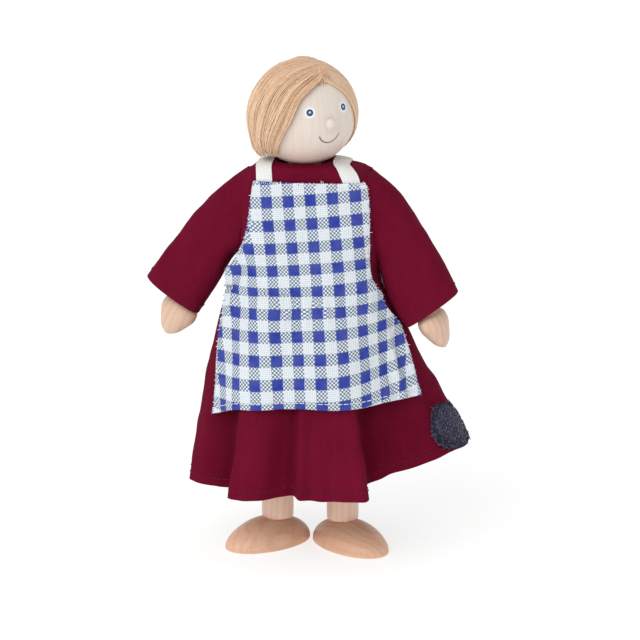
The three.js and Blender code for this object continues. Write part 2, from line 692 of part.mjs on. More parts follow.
// A tape along a path of [level, bearing] places, lying on the dress across its whole width.
function tapeAlong(path, lifts) {
  const places = path.map(([level, bearing], i) => {
    const ahead = dressPoint(...path[Math.min(i + 1, path.length - 1)]);
    const along = ahead.sub(dressPoint(...path[Math.max(i - 1, 0)])).normalize();
    const across = dressNormal(level, bearing).cross(along).normalize();
    return TAPE_LANES.map((share) =>
      movedOnDress(level, bearing, across.clone().multiplyScalar(share * TAPE_WIDTH)),
    );
  });
  return clothOnDress(places, lifts);
}

// Neck strap: sewn on one corner of the bib, over the shoulder, behind the neck and down again
function neckStrap() {
  const top = APRON_ROWS[0];
  const shoulderReach = dressPoint(STRAP_SHOULDER_LEVEL, Math.PI / 2).x;
  const front = (side) =>
    Array.from({ length: STRAP_FRONT_STEPS }, (_, i) => {
      const t = i / STRAP_FRONT_STEPS;
      const level = lerp(top.level + STRAP_SEWN, STRAP_SHOULDER_LEVEL, t);
      return [level, bearingAt(level, lerp(top.right - TAPE_WIDTH / 2, shoulderReach, t), side)];
    });
  const back = Array.from({ length: TAPE_STEPS + 1 }, (_, i) => {
    const turn = (i / TAPE_STEPS) * Math.PI;
    const level = lerp(STRAP_SHOULDER_LEVEL, STRAP_BACK_LEVEL, Math.sin(turn) ** 2);
    return [level, -Math.PI / 2 - turn];
  });
  const returning = front(1).map(([level, bearing]) => [level, bearing - 2 * Math.PI]);
  const path = [...front(-1), ...back, ...returning.reverse()];
  const sewnLift = APRON_GAP + CLOTH + CLOTH_GAP;
  const lifts = path.map(([level, bearing]) => {
    const ahead = Math.cos(bearing) > 0 ? (level - STRAP_SHOULDER_LEVEL) / top.level : 0;
    return lerp(CLOTH_GAP, sewnLift, Math.min(1, STRAP_LIFT_RATE * ahead));
  });
  return part("apron_neck_strap", tapeAlong(path, lifts), materials.tape);
}

// Waist tape: from one side of the apron round the back to the other
function waistTape() {
  const row = APRON_ROWS.find(({ level }) => level === lastLevel);
  const right = bearingAt(TAPE_LEVEL, row.right, -1) - rad(TAPE_END_GAP);
  const left = bearingAt(TAPE_LEVEL, row.left, 1) + rad(TAPE_END_GAP) - 2 * Math.PI;
  const turn = (i) => lerp(right, left, i / TAPE_STEPS);
  const path = Array.from({ length: TAPE_STEPS + 1 }, (_, i) => [TAPE_LEVEL, turn(i)]);
  const lifts = path.map(() => CLOTH_GAP);
  return part("apron_waist_tape", tapeAlong(path, lifts), materials.tape);
}

// Bow at the back: a knot, two loops of tape on edge and two tails that lie down the skirt
function apronBow() {
  const lift = 2 * CLOTH_GAP + CLOTH;
  const seat = offDress(TAPE_LEVEL, Math.PI, lift);
  const loop = (side) => {
    const outline = (inset) => {
      const shape = new THREE.Path();
      const half = BOW_LOOP_DEPTH / 2 - inset;
      shape.moveTo(inset, 0);
      const centre = BOW_LOOP_LENGTH - half - inset;
      shape.quadraticCurveTo(centre / 2, -half, centre, -half);
      shape.absarc(centre, 0, half, -Math.PI / 2, Math.PI / 2);
      shape.quadraticCurveTo(centre / 2, half, inset, 0);
      return shape.getPoints(4);
    };
    const ring = new THREE.Shape(outline(0));
    ring.holes.push(new THREE.Path(outline(CLOTH).reverse()));
    const band = new THREE.ExtrudeGeometry(ring, { depth: TAPE_WIDTH, bevelEnabled: false });
    band.translate(0, BOW_LOOP_DEPTH / 2, -TAPE_WIDTH / 2);
    if (side < 0) band.rotateZ(Math.PI).translate(0, BOW_LOOP_DEPTH, 0);
    return solid(band.rotateY(side * rad(BOW_LOOP_DROOP)).translate(seat.x, seat.y, seat.z));
  };
  const knot = new THREE.SphereGeometry(1, PIN_SIDES, PIN_SIDES / 2);
  knot.scale(BOW_KNOT_WIDTH / 2, BOW_KNOT_DEPTH / 2, BOW_KNOT_HEIGHT / 2);
  knot.translate(seat.x, seat.y + BOW_LOOP_DEPTH / 2, seat.z);
  const tail = (side) => {
    const steps = 8;
    const path = Array.from({ length: steps + 1 }, (_, i) => {
      const t = i / steps;
      const bearing = Math.PI + side * rad(lerp(BOW_TAIL_START, BOW_TAIL_SPREAD, t));
      return [lerp(TAPE_LEVEL, BOW_TAIL_LEVEL, t), bearing];
    });
    const lifts = path.map(() => lift);
    return solid(tapeAlong(path, lifts));
  };
  const made = solid(knot).add(loop(1)).add(loop(-1)).add(tail(1)).add(tail(-1));
  return part("apron_bow", geometryOf(made), materials.tape);
}

// Hem patch: a round of knitting that lies on the skirt
function hemPatch() {
  const cells = 8;
  const centre = dressPoint(PATCH_LEVEL, rad(PATCH_BEARING));
  const reach = Math.hypot(centre.x, centre.y);
  const drop = WAIST_HEIGHT - hemAt(rad(PATCH_BEARING)).height;
  const places = Array.from({ length: cells + 1 }, (_, i) =>
    Array.from({ length: cells + 1 }, (_, j) => {
      const u = (2 * j) / cells - 1;
      const v = (2 * i) / cells - 1;
      const across = (u * Math.sqrt(1 - (v * v) / 2) * PATCH_DIAMETER) / 2;
      const down = (v * Math.sqrt(1 - (u * u) / 2) * PATCH_DIAMETER) / 2;
      return [PATCH_LEVEL + down / drop, rad(PATCH_BEARING) + across / reach];
    }),
  );
  const lifts = places.map(() => CLOTH_GAP);
  return part("hem_patch", clothOnDress(places, lifts), materials.navyKnit);
}

// Assembly: each turning piece sits in a group at its pivot
function pivot(name, x, y, z, ...children) {
  const group = new THREE.Group();
  group.name = name;
  group.position.set(x, y, z);
  group.add(...children);
  return group;
}

function armAssembly(label, side, splay, handTurn) {
  const wrist = pivot(`${label}_wrist`, 0, 0, 0, hand(`${label}_hand`));
  wrist.rotation.set(0, -side * rad(splay), 0);
  wrist.rotateZ(side * rad(handTurn));
  const along = ARM_LENGTH + BORE_GAP;
  wrist.position.set(side * along * Math.sin(rad(splay)), 0, -along * Math.cos(rad(splay)));
  const place = [side * shoulderSpread, 0, shoulderHeight];
  return pivot(`${label}_shoulder`, ...place, arm(`${label}_arm`, side, splay), wrist);
}

function legAssembly(label, side) {
  const ankle = pivot(`${label}_ankle`, 0, 0, -HIP_HEIGHT, foot(`${label}_foot`));
  ankle.rotation.z = side * rad(FOOT_TURN);
  return pivot(`${label}_hip`, side * LEG_SPREAD, 0, HIP_HEIGHT, leg(`${label}_leg`), ankle);
}

const neckFoot = torsoTop - NECK_IN_TORSO;
const neckHead = torsoTop + NECK_SHOWN + NECK_IN_HEAD;
const neckBar = bar(NECK_DIAMETER, neckFoot, neckHead, ROUND_SIDES).translate(NECK_OFFSET, 0, 0);
const neckDowel = part("neck_dowel", neckBar, materials.paleWood);
const hipLength = 2 * (LEG_SPREAD + legRadius) - 2 * JOINT_GAP;
const hipDowel = part(
  "hip_dowel",
  crossBar(HIP_DOWEL_DIAMETER, hipLength, PIN_SIDES).translate(0, 0, HIP_HEIGHT),
  materials.paleWood,
);

const head = pivot("neck", NECK_OFFSET, 0, headHeight, headBall(), nosePeg(), yarnHair());
head.rotation.z = rad(HEAD_TURN);

const doll = new THREE.Group();
doll.add(torso(), neckDowel, hipDowel, head);
doll.add(shoulderPeg("left", 1), shoulderPeg("right", -1));
doll.add(armAssembly("left", 1, LEFT_ARM_SPLAY, LEFT_HAND_TURN));
doll.add(armAssembly("right", -1, RIGHT_ARM_SPLAY, RIGHT_HAND_TURN));
doll.add(legAssembly("left", 1), legAssembly("right", -1));
doll.add(dressBodice(), dressSkirt());
doll.add(sleeve("left_sleeve", 1, LEFT_SLEEVE), sleeve("right_sleeve", -1, RIGHT_SLEEVE));
doll.add(apron(), neckStrap(), waistTape(), apronBow(), hemPatch());

// The origin is on the floor, in the middle of the doll's outline.
const extent = new THREE.Box3().setFromObject(doll, true);
const middle = extent.getCenter(vec(0, 0, 0));
doll.position.set(-middle.x, -middle.y, -extent.min.z);

const model = new THREE.Group();
model.add(doll);
export default model;
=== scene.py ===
"""A wooden miniature doll in a burgundy dress and a gingham apron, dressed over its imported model.

Sizes are millimetres in the doll's own frame: its axis is Z, it stands on Z = 0, it faces -Y and
its left hand is on the +X side. Bearings go round the axis from the front, positive towards the
doll's left.
"""

import json
import logging
import math
from collections.abc import Callable, Iterator, Sequence
from contextlib import contextmanager
from dataclasses import dataclass
from enum import Enum
from itertools import pairwise

import bpy
import numpy as np
from mathutils import Matrix, Vector

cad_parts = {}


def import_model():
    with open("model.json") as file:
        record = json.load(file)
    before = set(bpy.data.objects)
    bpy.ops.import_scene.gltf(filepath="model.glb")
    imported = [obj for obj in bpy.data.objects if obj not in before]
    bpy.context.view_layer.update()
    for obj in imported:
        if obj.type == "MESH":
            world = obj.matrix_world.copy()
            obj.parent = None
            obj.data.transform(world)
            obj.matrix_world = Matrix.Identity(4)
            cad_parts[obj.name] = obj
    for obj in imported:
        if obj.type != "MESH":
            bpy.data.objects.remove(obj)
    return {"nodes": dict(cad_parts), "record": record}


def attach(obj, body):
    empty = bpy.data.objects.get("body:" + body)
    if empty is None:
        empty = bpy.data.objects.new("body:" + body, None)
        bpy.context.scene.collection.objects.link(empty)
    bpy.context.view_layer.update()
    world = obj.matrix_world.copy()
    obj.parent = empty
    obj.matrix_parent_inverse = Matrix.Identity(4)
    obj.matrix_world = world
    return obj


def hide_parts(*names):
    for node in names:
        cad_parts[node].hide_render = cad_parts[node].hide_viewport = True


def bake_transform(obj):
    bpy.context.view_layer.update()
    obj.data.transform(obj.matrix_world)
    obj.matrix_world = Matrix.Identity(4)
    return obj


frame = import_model()

LOG = logging.getLogger("doll")
MM = 0.001
Array = np.ndarray
Colour = tuple[float, float, float]
Piece = bpy.types.Object
Material = bpy.types.Material
Socket = bpy.types.NodeSocket


class Side(Enum):
    """The doll's own sides."""

    LEFT = 1
    RIGHT = -1

    @property
    def label(self) -> str:
        """The side as it stands in a piece's name."""
        return self.name.lower()


class Held(Enum):
    """How a cloth is held."""

    HUNG = "hung"
    GATHERED = "gathered"
    DRAPED = "draped"
    LAID = "laid"


# Places and curves


def doll_origin() -> Array:
    """Finds where the doll's axis meets the floor, in metres, midway between its shoulder joints."""
    joints = {joint["name"]: joint["pos_m"] for joint in frame["record"]["behaviour"]["joints"]}
    left, right = joints["left_shoulder"], joints["right_shoulder"]
    return np.array([(left[0] + right[0]) / 2, left[1], 0.0])


ORIGIN = doll_origin()
NECK_OFFSET = -1.3
SHOULDER = (15.4, 89.2)
ARM_SPLAY = {Side.LEFT: 26.0, Side.RIGHT: 30.0}
UPRIGHT = Matrix.Identity(4)
STITCH_RADIUS = 0.11
PITH_OFFSET = 31.0


def world(points: Array) -> Array:
    """Takes points of the doll's frame in millimetres to the scene's metres."""
    return np.asarray(points, float) * MM + ORIGIN


def place(x: float, y: float, z: float) -> tuple[float, float, float]:
    """Gives one point of the doll's frame as a tuple in metres."""
    return tuple(float(value) for value in world(np.array([x, y, z])))


def smooth_through(knots: Sequence[float], values: Sequence[float], at: Array) -> Array:
    """Reads a smooth curve through a table, without overshoot.

    Args:
        knots: The table's rising places.
        values: The table's value at each place.
        at: The places to read.

    Returns:
        The values there.
    """
    x, y, at = np.asarray(knots, float), np.asarray(values, float), np.asarray(at, float)
    step = np.diff(x)
    slope = np.diff(y) / step
    tangent = np.zeros_like(y)
    same = slope[:-1] * slope[1:] > 0
    total = np.where(same, slope[:-1] + slope[1:], 1.0)
    tangent[1:-1] = np.where(same, 2 * slope[:-1] * slope[1:] / total, 0.0)
    tangent[0], tangent[-1] = slope[0], slope[-1]
    i = np.clip(np.searchsorted(x, at, side="right") - 1, 0, len(x) - 2)
    t = np.clip((at - x[i]) / step[i], 0, 1)
    rise = t * t * (3 - 2 * t)
    lead = t * (1 - t) ** 2 * step[i] * tangent[i]
    trail = t * t * (1 - t) * step[i] * tangent[i + 1]
    return y[i] + (y[i + 1] - y[i]) * rise + lead - trail


def ease(low: float, high: float, at: Array) -> Array:
    """Rises smoothly from 0 at low to 1 at high."""
    t = np.clip((np.asarray(at, float) - low) / (high - low), 0, 1)
    return t * t * (3 - 2 * t)


def unit(vectors: Array) -> Array:
    """Brings vectors to length 1."""
    return vectors / np.maximum(np.linalg.norm(vectors, axis=-1, keepdims=True), 1e-12)


def run_lengths(points: Array) -> Array:
    """The distance run along the last axis but one of a list of points."""
    steps = np.linalg.norm(np.diff(points, axis=-2), axis=-1)
    start = np.zeros((*steps.shape[:-1], 1))
    return np.concatenate([start, np.cumsum(steps, axis=-1)], axis=-1)

def read_along(at: Array, run: Array, line: Array) -> Array:
    """Reads a line of places, known at the distances run, at other distances."""
    return np.stack([np.interp(at, run, column) for column in line.T], axis=-1)

def outline_reach(half_width: Array, half_depth: Array, bearing: Array, square: float) -> Array:
    """The reach of a rounded outline at a bearing in radians from its front."""
    across = np.abs(np.sin(bearing) / half_width) ** square
    along = np.abs(np.cos(bearing) / half_depth) ** square
    return (across + along) ** (-1 / square)


def creases(points: Array, length: float, seed: int, count: int = 7) -> Array:
    """A field of soft crossing creases, about from -1 to 1.

    Args:
        points: Where to read it, in millimetres.
        length: The usual distance from crease to crease.
        seed: Which field it is.
        count: How many waves make it.

    Returns:
        The field at each point.
    """
    rng = np.random.default_rng(seed)
    total = np.zeros(points.shape[:-1])
    for _ in range(count):
        way = unit(rng.normal(size=3) * np.array([1.0, 1.0, 0.55]))
        wave = points @ way * (2 * np.pi / (length * rng.uniform(0.7, 1.5))) + rng.uniform(0, 6.28)
        total += np.sin(wave + 0.8 * np.sin(0.5 * wave + rng.uniform(0, 6.28)))
    return total / math.sqrt(2 * count)


# Modelling


def deselect() -> None:
    """Leaves edit mode and lets go of everything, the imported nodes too."""
    if bpy.context.object and bpy.context.object.mode != "OBJECT":
        bpy.ops.object.mode_set(mode="OBJECT")
    bpy.ops.object.select_all(action="DESELECT")


def activate(obj: Piece) -> None:
    """Makes one object the only one selected."""
    deselect()
    obj.select_set(True)
    bpy.context.view_layer.objects.active = obj


def apply_modifiers(obj: Piece) -> None:
    """Applies a piece's modifiers in their order."""
    activate(obj)
    for modifier in list(obj.modifiers):
        bpy.ops.object.modifier_apply(modifier=modifier.name)


def put(obj: Piece, matrix: Matrix) -> None:
    """Moves a piece by a matrix in metres and leaves its place in its mesh."""
    activate(obj)
    obj.matrix_world = matrix @ obj.matrix_world
    bpy.ops.object.transform_apply(location=True, rotation=True, scale=True)


def shade(obj: Piece, angle: float = 60.0) -> None:
    """Shades a piece smooth, with edges sharper than an angle in degrees left crisp."""
    activate(obj)
    bpy.ops.object.shade_smooth_by_angle(angle=math.radians(angle))


def soften(obj: Piece, levels: int) -> None:
    """Rounds a piece with a subdivision surface."""
    modifier = obj.modifiers.new("round", "SUBSURF")
    modifier.levels = modifier.render_levels = levels
    apply_modifiers(obj)


def at_vertices(obj: Piece, what: str = "co") -> Array:
    """Reads a value of three parts, such as the place, at each of a piece's vertices."""
    flat = np.empty(len(obj.data.vertices) * 3)
    obj.data.vertices.foreach_get(what, flat)
    return flat.reshape(-1, 3)

def mark(obj: Piece, name: str, values: Array) -> None:
    """Keeps a value at each of a piece's vertices as an attribute."""
    obj.data.attributes.new(name, "FLOAT", "POINT").data.foreach_set("value", values)

def reshape(obj: Piece, move: Callable[[Array], Array]) -> None:
    """Moves a piece's vertices.

    Args:
        obj: The piece.
        move: Takes the vertices' places in metres to their new places.
    """
    obj.data.vertices.foreach_set("co", np.ascontiguousarray(move(at_vertices(obj))).ravel())
    obj.data.update()


@contextmanager
def editing(obj: Piece, wanted: Callable[[bpy.types.MeshPolygon], bool] | None = None) -> Iterator[None]:
    """Opens a piece in edit mode and closes it afterwards.

    Args:
        obj: The piece.
        wanted: Picks the faces to select; without it all are selected.

    Yields:
        Nothing, while the piece is open.
    """
    activate(obj)
    bpy.ops.object.mode_set(mode="EDIT")
    bpy.ops.mesh.select_all(action="DESELECT" if wanted else "SELECT")
    if wanted:
        bpy.ops.object.mode_set(mode="OBJECT")
        for polygon in obj.data.polygons:
            polygon.select = wanted(polygon)
        bpy.ops.object.mode_set(mode="EDIT")
    yield
    bpy.ops.object.mode_set(mode="OBJECT")

def face_out(obj: Piece) -> None:
    """Turns a closed piece's faces outwards."""
    with editing(obj):
        bpy.ops.mesh.normals_make_consistent(inside=False)

def ball(name: str, segments: int, rings: int, radius: float) -> Piece:
    """Adds a ball round the scene's origin, with a radius in metres."""
    deselect()
    bpy.ops.mesh.primitive_uv_sphere_add(segments=segments, ring_count=rings, radius=radius)
    obj = bpy.context.object
    obj.name = obj.data.name = name
    return obj


def turned(name: str, rings: Sequence[tuple[float, float]], sides: int = 40) -> Piece:
    """Draws a solid up from a disc, ring by ring, as on a lathe.

    Args:
        name: The piece's name.
        rings: Radius and height of each ring in millimetres, from the lowest.
        sides: Corners of the disc.

    Returns:
        The solid on the Z axis of the scene.
    """
    deselect()
    radius, height = rings[0]
    bpy.ops.mesh.primitive_circle_add(
        vertices=sides, radius=radius * MM, fill_type="NGON", location=(0, 0, height * MM)
    )
    obj = bpy.context.object
    obj.name = obj.data.name = name
    bpy.ops.object.transform_apply(location=True, rotation=True, scale=True)
    with editing(obj):
        for (wide, low), (next_wide, high) in pairwise(rings):
            rise = (0, 0, (high - low) * MM)
            bpy.ops.mesh.extrude_region_move(TRANSFORM_OT_translate={"value": rise})
            share = next_wide / wide
            bpy.ops.transform.resize(value=(share, share, 1), center_override=(0, 0, high * MM))
    face_out(obj)
    return obj


def cloth(
    name: str,
    points: Array,
    flat: Array,
    thickness: float,
    closed: bool = False,
    outward: Array | None = None,
    cut: Callable[[Piece], None] | None = None,
) -> Piece:
    """Lays a grid of cloth through rows of points and gives it its thickness.

    Args:
        name: The piece's name.
        points: Rows by columns of places on the cloth's face, in millimetres.
        flat: Rows by columns of the same places on the flat cut, in millimetres.
        thickness: How thick the cloth is; it grows inwards from the face.
        closed: Whether the last column is the first one again.
        outward: Roughly which way the face looks at each place.
        cut: Cuts the cloth to its outline before it gets its thickness.

    Returns:
        The piece, in its place.
    """
    rows, columns = points.shape[:2]
    deselect()
    bpy.ops.mesh.primitive_grid_add(x_subdivisions=columns - 1, y_subdivisions=rows - 1, size=1)
    obj = bpy.context.object
    obj.name = obj.data.name = name
    mesh = obj.data
    x, y, _ = at_vertices(obj).T
    column = np.rint((x + 0.5) * (columns - 1)).astype(int)
    row = np.rint((0.5 - y) * (rows - 1)).astype(int)
    mesh.vertices.foreach_set("co", world(points[row, column]).ravel())
    corner = np.empty(len(mesh.loops), dtype=np.int32)
    mesh.loops.foreach_get("vertex_index", corner)
    mesh.uv_layers[0].data.foreach_set("uv", flat[row[corner], column[corner]].ravel())
    mesh.update()
    if outward is not None and np.sum(at_vertices(obj, "normal") * outward[row, column]) < 0:
        mesh.flip_normals()
    if closed:
        with editing(obj):
            bpy.ops.mesh.remove_doubles(threshold=1e-6)
    if cut:
        cut(obj)
    solid = obj.modifiers.new("thickness", "SOLIDIFY")
    solid.thickness = thickness * MM
    solid.offset = -1
    apply_modifiers(obj)
    shade(obj)
    return obj


def threads(name: str, paths: Array, radius: float, taper: Array, shades: Array | None = None) -> Piece:
    """Draws many threads as one piece.

    Args:
        name: The piece's name.
        paths: Threads by points of places in millimetres.
        radius: The threads' radius.
        taper: The share of the radius at each point of a thread.
        shades: A tone from 0 to 1 for each thread, kept as the attribute "shade".

    Returns:
        The piece, in its place.
    """
    count, steps = paths.shape[:2]
    deselect()
    curve = bpy.data.curves.new(name, "CURVE")
    curve.dimensions = "3D"
    curve.bevel_depth = radius * MM
    curve.bevel_resolution = 0
    curve.use_fill_caps = True
    placed = np.concatenate([world(paths), np.ones((count, steps, 1))], axis=2)
    for path in placed:
        spline = curve.splines.new("POLY")
        spline.points.add(steps - 1)
        spline.points.foreach_set("co", path.ravel())
        spline.points.foreach_set("radius", taper)
    obj = bpy.data.objects.new(name, curve)
    bpy.context.collection.objects.link(obj)
    activate(obj)
    bpy.ops.object.convert(target="MESH")
    obj = bpy.context.object
    tones = np.full(count, 0.5) if shades is None else shades
    mark(obj, "shade", np.repeat(tones, len(obj.data.vertices) // count))
    bpy.ops.object.shade_smooth()
    return obj


def stitches(name: str, line: Array, normals: Array, length: float, gap: float) -> Piece:
    """Sews a row of running stitches along a line on a cloth.

    Args:
        name: The piece's name.
        line: Closely spaced places along the row, in millimetres.
        normals: The cloth's outward way at each place.
        length: How long a stitch shows.
        gap: The space to the next stitch.

    Returns:
        The stitches as one piece.
    """
    run = run_lengths(line)
    count = int(run[-1] // (length + gap))
    share = np.array([0.0, 0.18, 0.5, 0.82, 1.0])
    lift = np.array([-0.12, 0.03, 0.08, 0.03, -0.12])
    at = (np.arange(count)[:, None] * (length + gap) + gap / 2) + share * length
    out = unit(read_along(at, run, normals))
    paths = read_along(at, run, line) + out * lift[None, :, None]
    return threads(name, paths, STITCH_RADIUS, np.ones(len(share)))


def dress_piece(obj: Piece, finish: Material, slot: str, *nodes: str) -> Piece:
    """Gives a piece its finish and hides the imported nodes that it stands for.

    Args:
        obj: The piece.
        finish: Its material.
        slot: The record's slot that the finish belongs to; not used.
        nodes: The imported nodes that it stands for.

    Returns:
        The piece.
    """
    obj.data.materials.clear()
    obj.data.materials.append(finish)
    if nodes:
        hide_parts(*nodes)
    LOG.info("%s: %d faces", obj.name, len(obj.data.polygons))
    return obj


# Finishes


def srgb(red: int, green: int, blue: int) -> Colour:
    """Turns a colour as a screen shows it, 0 to 255, into the renderer's linear values."""

    def linear(value: int) -> float:
        """Takes one channel to its linear value."""
        share = value / 255
        return share / 12.92 if share <= 0.04045 else ((share + 0.055) / 1.055) ** 2.4

    return linear(red), linear(green), linear(blue)


class Graph:
    """Writes shader nodes into one node tree."""

    def __init__(self, tree: bpy.types.NodeTree) -> None:
        """Takes the tree to write into."""
        self.tree = tree

    def feed(self, target: Socket, value: object) -> None:
        """Links a socket to a target, or sets a plain value on it."""
        if isinstance(value, bpy.types.NodeSocket):
            self.tree.links.new(value, target)
        elif value is not None:
            if isinstance(value, tuple) and target.type == "RGBA" and len(value) == 3:
                value = (*value, 1.0)
            target.default_value = value

    def node(self, kind: str, inputs: dict | None = None, **settings: object) -> bpy.types.Node:
        """Adds a node.

        Args:
            kind: Its type, without the leading ShaderNode.
            inputs: Sockets or values by the input's name or number.
            settings: The node's own settings.

        Returns:
            The node.
        """
        made = self.tree.nodes.new("ShaderNode" + kind)
        for name, value in settings.items():
            setattr(made, name, value)
        for key, value in (inputs or {}).items():
            self.feed(made.inputs[key], value)
        return made

    def math(self, operation: str, *values: object) -> Socket:
        """Adds a Math node and gives its output."""
        return self.node("Math", dict(enumerate(values)), operation=operation).outputs[0]

    def vector(self, operation: str, *values: object) -> Socket:
        """Adds a Vector Math node and gives its vector, or its value where it has one."""
        made = self.node("VectorMath", dict(enumerate(values)), operation=operation)
        return made.outputs["Value" if operation in ("DISTANCE", "LENGTH") else "Vector"]

    def mix(self, share: object, first: object, second: object) -> Socket:
        """Mixes two colours."""
        return self.node("Mix", {0: share, 6: first, 7: second}, data_type="RGBA").outputs[2]

    def step(self, low: float, high: float, value: object) -> Socket:
        """Rises smoothly from 0 to 1 as a value goes from low to high, or falls if low is higher."""
        turn = {0: value, 1: min(low, high), 2: max(low, high), 3: 0.0, 4: 1.0}
        if low > high:
            turn[3], turn[4] = 1.0, 0.0
        return self.node("MapRange", turn, interpolation_type="SMOOTHSTEP").outputs[0]

    def noise(self, at: Socket, stretch: tuple[float, float, float], detail: float) -> Socket:
        """Reads noise whose grain is stretched, in turns per unit of each axis."""
        scaled = self.vector("MULTIPLY", at, stretch)
        made = self.node("TexNoise", {"Vector": scaled, "Scale": 1.0, "Detail": detail})
        return made.outputs[0]

    def axes(self, at: Socket) -> tuple[Socket, Socket, Socket]:
        """Splits a vector into its three parts."""
        parts = self.node("SeparateXYZ", {0: at}).outputs
        return parts[0], parts[1], parts[2]

    def surface(self, shader: bpy.types.Node, colour: Socket, rough: Socket, normal: Socket) -> None:
        """Feeds a shader its colour, its roughness and its normal."""
        for name, value in (("Base Color", colour), ("Roughness", rough), ("Normal", normal)):
            self.feed(shader.inputs[name], value)


def new_group(
    name: str, inputs: dict[str, str], outputs: dict[str, str]
) -> tuple[bpy.types.NodeTree, Graph, dict[str, Socket], bpy.types.Node]:
    """Starts a node group.

    Args:
        name: The group's name.
        inputs: Its inputs, each with its socket's kind.
        outputs: Its outputs, each with its socket's kind.

    Returns:
        The group, a writer for it, its inputs as sockets, and its output node.
    """
    tree = bpy.data.node_groups.new(name, "ShaderNodeTree")
    for label, kind in inputs.items():
        tree.interface.new_socket(label, in_out="INPUT", socket_type="NodeSocket" + kind)
    for label, kind in outputs.items():
        tree.interface.new_socket(label, in_out="OUTPUT", socket_type="NodeSocket" + kind)
    start = tree.nodes.new("NodeGroupInput")
    end = tree.nodes.new("NodeGroupOutput")
    return tree, Graph(tree), {label: start.outputs[label] for label in inputs}, end


def grain_group() -> bpy.types.NodeTree:
    """Builds the grain of a turned hardwood, along Z, in millimetres."""
    sockets = {"Place": "Vector", "Light": "Color", "Dark": "Color", "Figure": "Float", "Fleck": "Float"}
    tree, g, given, end = new_group("Turned wood grain", sockets, {"Color": "Color", "Height": "Float"})
    at = given["Place"]
    x, y, _ = g.axes(at)
    sway = g.noise(at, (0.16, 0.16, 0.03), 1.0)
    aside = g.math("POWER", g.math("ADD", x, PITH_OFFSET), 2.0)
    pith = g.math("SQRT", g.math("ADD", aside, g.math("POWER", y, 2.0)))
    ring = g.math("SINE", g.math("MULTIPLY", g.math("ADD", pith, g.math("MULTIPLY", sway, 5.0)), 3.3))
    streak = g.noise(at, (0.9, 0.9, 0.05), 3.0)
    fibre = g.noise(at, (6.5, 6.5, 0.3), 2.0)
    pore = g.step(0.6, 0.72, g.noise(at, (3.4, 3.4, 0.62), 1.0))
    figure = g.math("ADD", g.math("MULTIPLY", g.step(0.2, 1.0, ring), 0.42), g.math("MULTIPLY", streak, 0.75))
    figure = g.math("ADD", figure, g.math("MULTIPLY", fibre, 0.35))
    tone = g.math("MULTIPLY", g.step(0.35, 1.05, figure), given["Figure"])
    grained = g.mix(tone, given["Light"], given["Dark"])
    marked = g.mix(g.math("MULTIPLY", pore, given["Fleck"]), grained, (0.19, 0.09, 0.045))
    g.feed(end.inputs["Color"], marked)
    g.feed(end.inputs["Height"], g.math("SUBTRACT", fibre, g.math("MULTIPLY", pore, given["Fleck"])))
    return tree


def weave_group() -> bpy.types.NodeTree:
    """Builds a plain weave from flat places in millimetres."""
    sockets = {"Place": "Vector", "Pitch": "Float"}
    outputs = {"Height": "Float", "Over": "Float", "Slub": "Float"}
    tree, g, given, end = new_group("Plain weave", sockets, outputs)
    u, v, _ = g.axes(given["Place"])
    across, along = g.math("DIVIDE", u, given["Pitch"]), g.math("DIVIDE", v, given["Pitch"])
    crossing = g.math("ADD", g.math("FLOOR", across), g.math("FLOOR", along))
    over = g.math("FLOORED_MODULO", crossing, 2.0)
    warp = g.math("ABSOLUTE", g.math("SINE", g.math("MULTIPLY", across, math.pi)))
    weft = g.math("ABSOLUTE", g.math("SINE", g.math("MULTIPLY", along, math.pi)))
    under = g.math("SUBTRACT", 1.0, over)
    up = g.math("MULTIPLY", g.math("SQRT", warp), g.math("MULTIPLY_ADD", weft, 0.5, 0.5))
    left = g.math("MULTIPLY", g.math("SQRT", weft), g.math("MULTIPLY_ADD", warp, 0.5, 0.5))
    height = g.math("ADD", g.math("MULTIPLY", over, up), g.math("MULTIPLY", under, left))
    lies = ((2.6, 0.12, 1.0), (0.12, 2.6, 1.0))
    slubs = g.math("ADD", *(g.noise(given["Place"], lie, 1.0) for lie in lies))
    g.feed(end.inputs["Height"], height)
    g.feed(end.inputs["Over"], over)
    g.feed(end.inputs["Slub"], slubs)
    return tree


GRAIN = grain_group()
WEAVE = weave_group()


def new_material(name: str, **constants: object) -> tuple[Material, Graph, bpy.types.Node]:
    """Starts a material.

    Args:
        name: Its name.
        constants: Values that are the same all over, by the shader's socket names with _ for spaces.

    Returns:
        The material, a writer for its nodes, and its shader.
    """
    material = bpy.data.materials.new(name)
    material.use_nodes = True
    graph = Graph(material.node_tree)
    shader = material.node_tree.nodes["Principled BSDF"]
    for key, value in constants.items():
        graph.feed(shader.inputs[key.replace("_", " ")], value)
    return material, graph, shader


def bump(graph: Graph, height: Socket, depth: float, strength: float = 1.0) -> Socket:
    """Adds a bump of a depth in millimetres and gives its normal."""
    inputs = {"Height": height, "Strength": strength, "Distance": depth * MM}
    return graph.node("Bump", inputs).outputs[0]


def piece_place(graph: Graph, turn: Matrix, centre: Sequence[float]) -> Socket:
    """Reads places in a piece's own millimetres.

    Args:
        graph: The material's writer.
        turn: How the piece is turned in the scene.
        centre: The piece's centre in the doll's frame.

    Returns:
        The place, with the piece's axis as Z.
    """
    back = turn.to_3x3().inverted()
    shift = back @ (Vector(place(*centre)) / MM)
    inputs = {
        "Vector": graph.node("TexCoord").outputs["Object"],
        "Location": tuple(-shift),
        "Rotation": tuple(back.to_euler()),
        "Scale": (1 / MM, 1 / MM, 1 / MM),
    }
    return graph.node("Mapping", inputs).outputs[0]


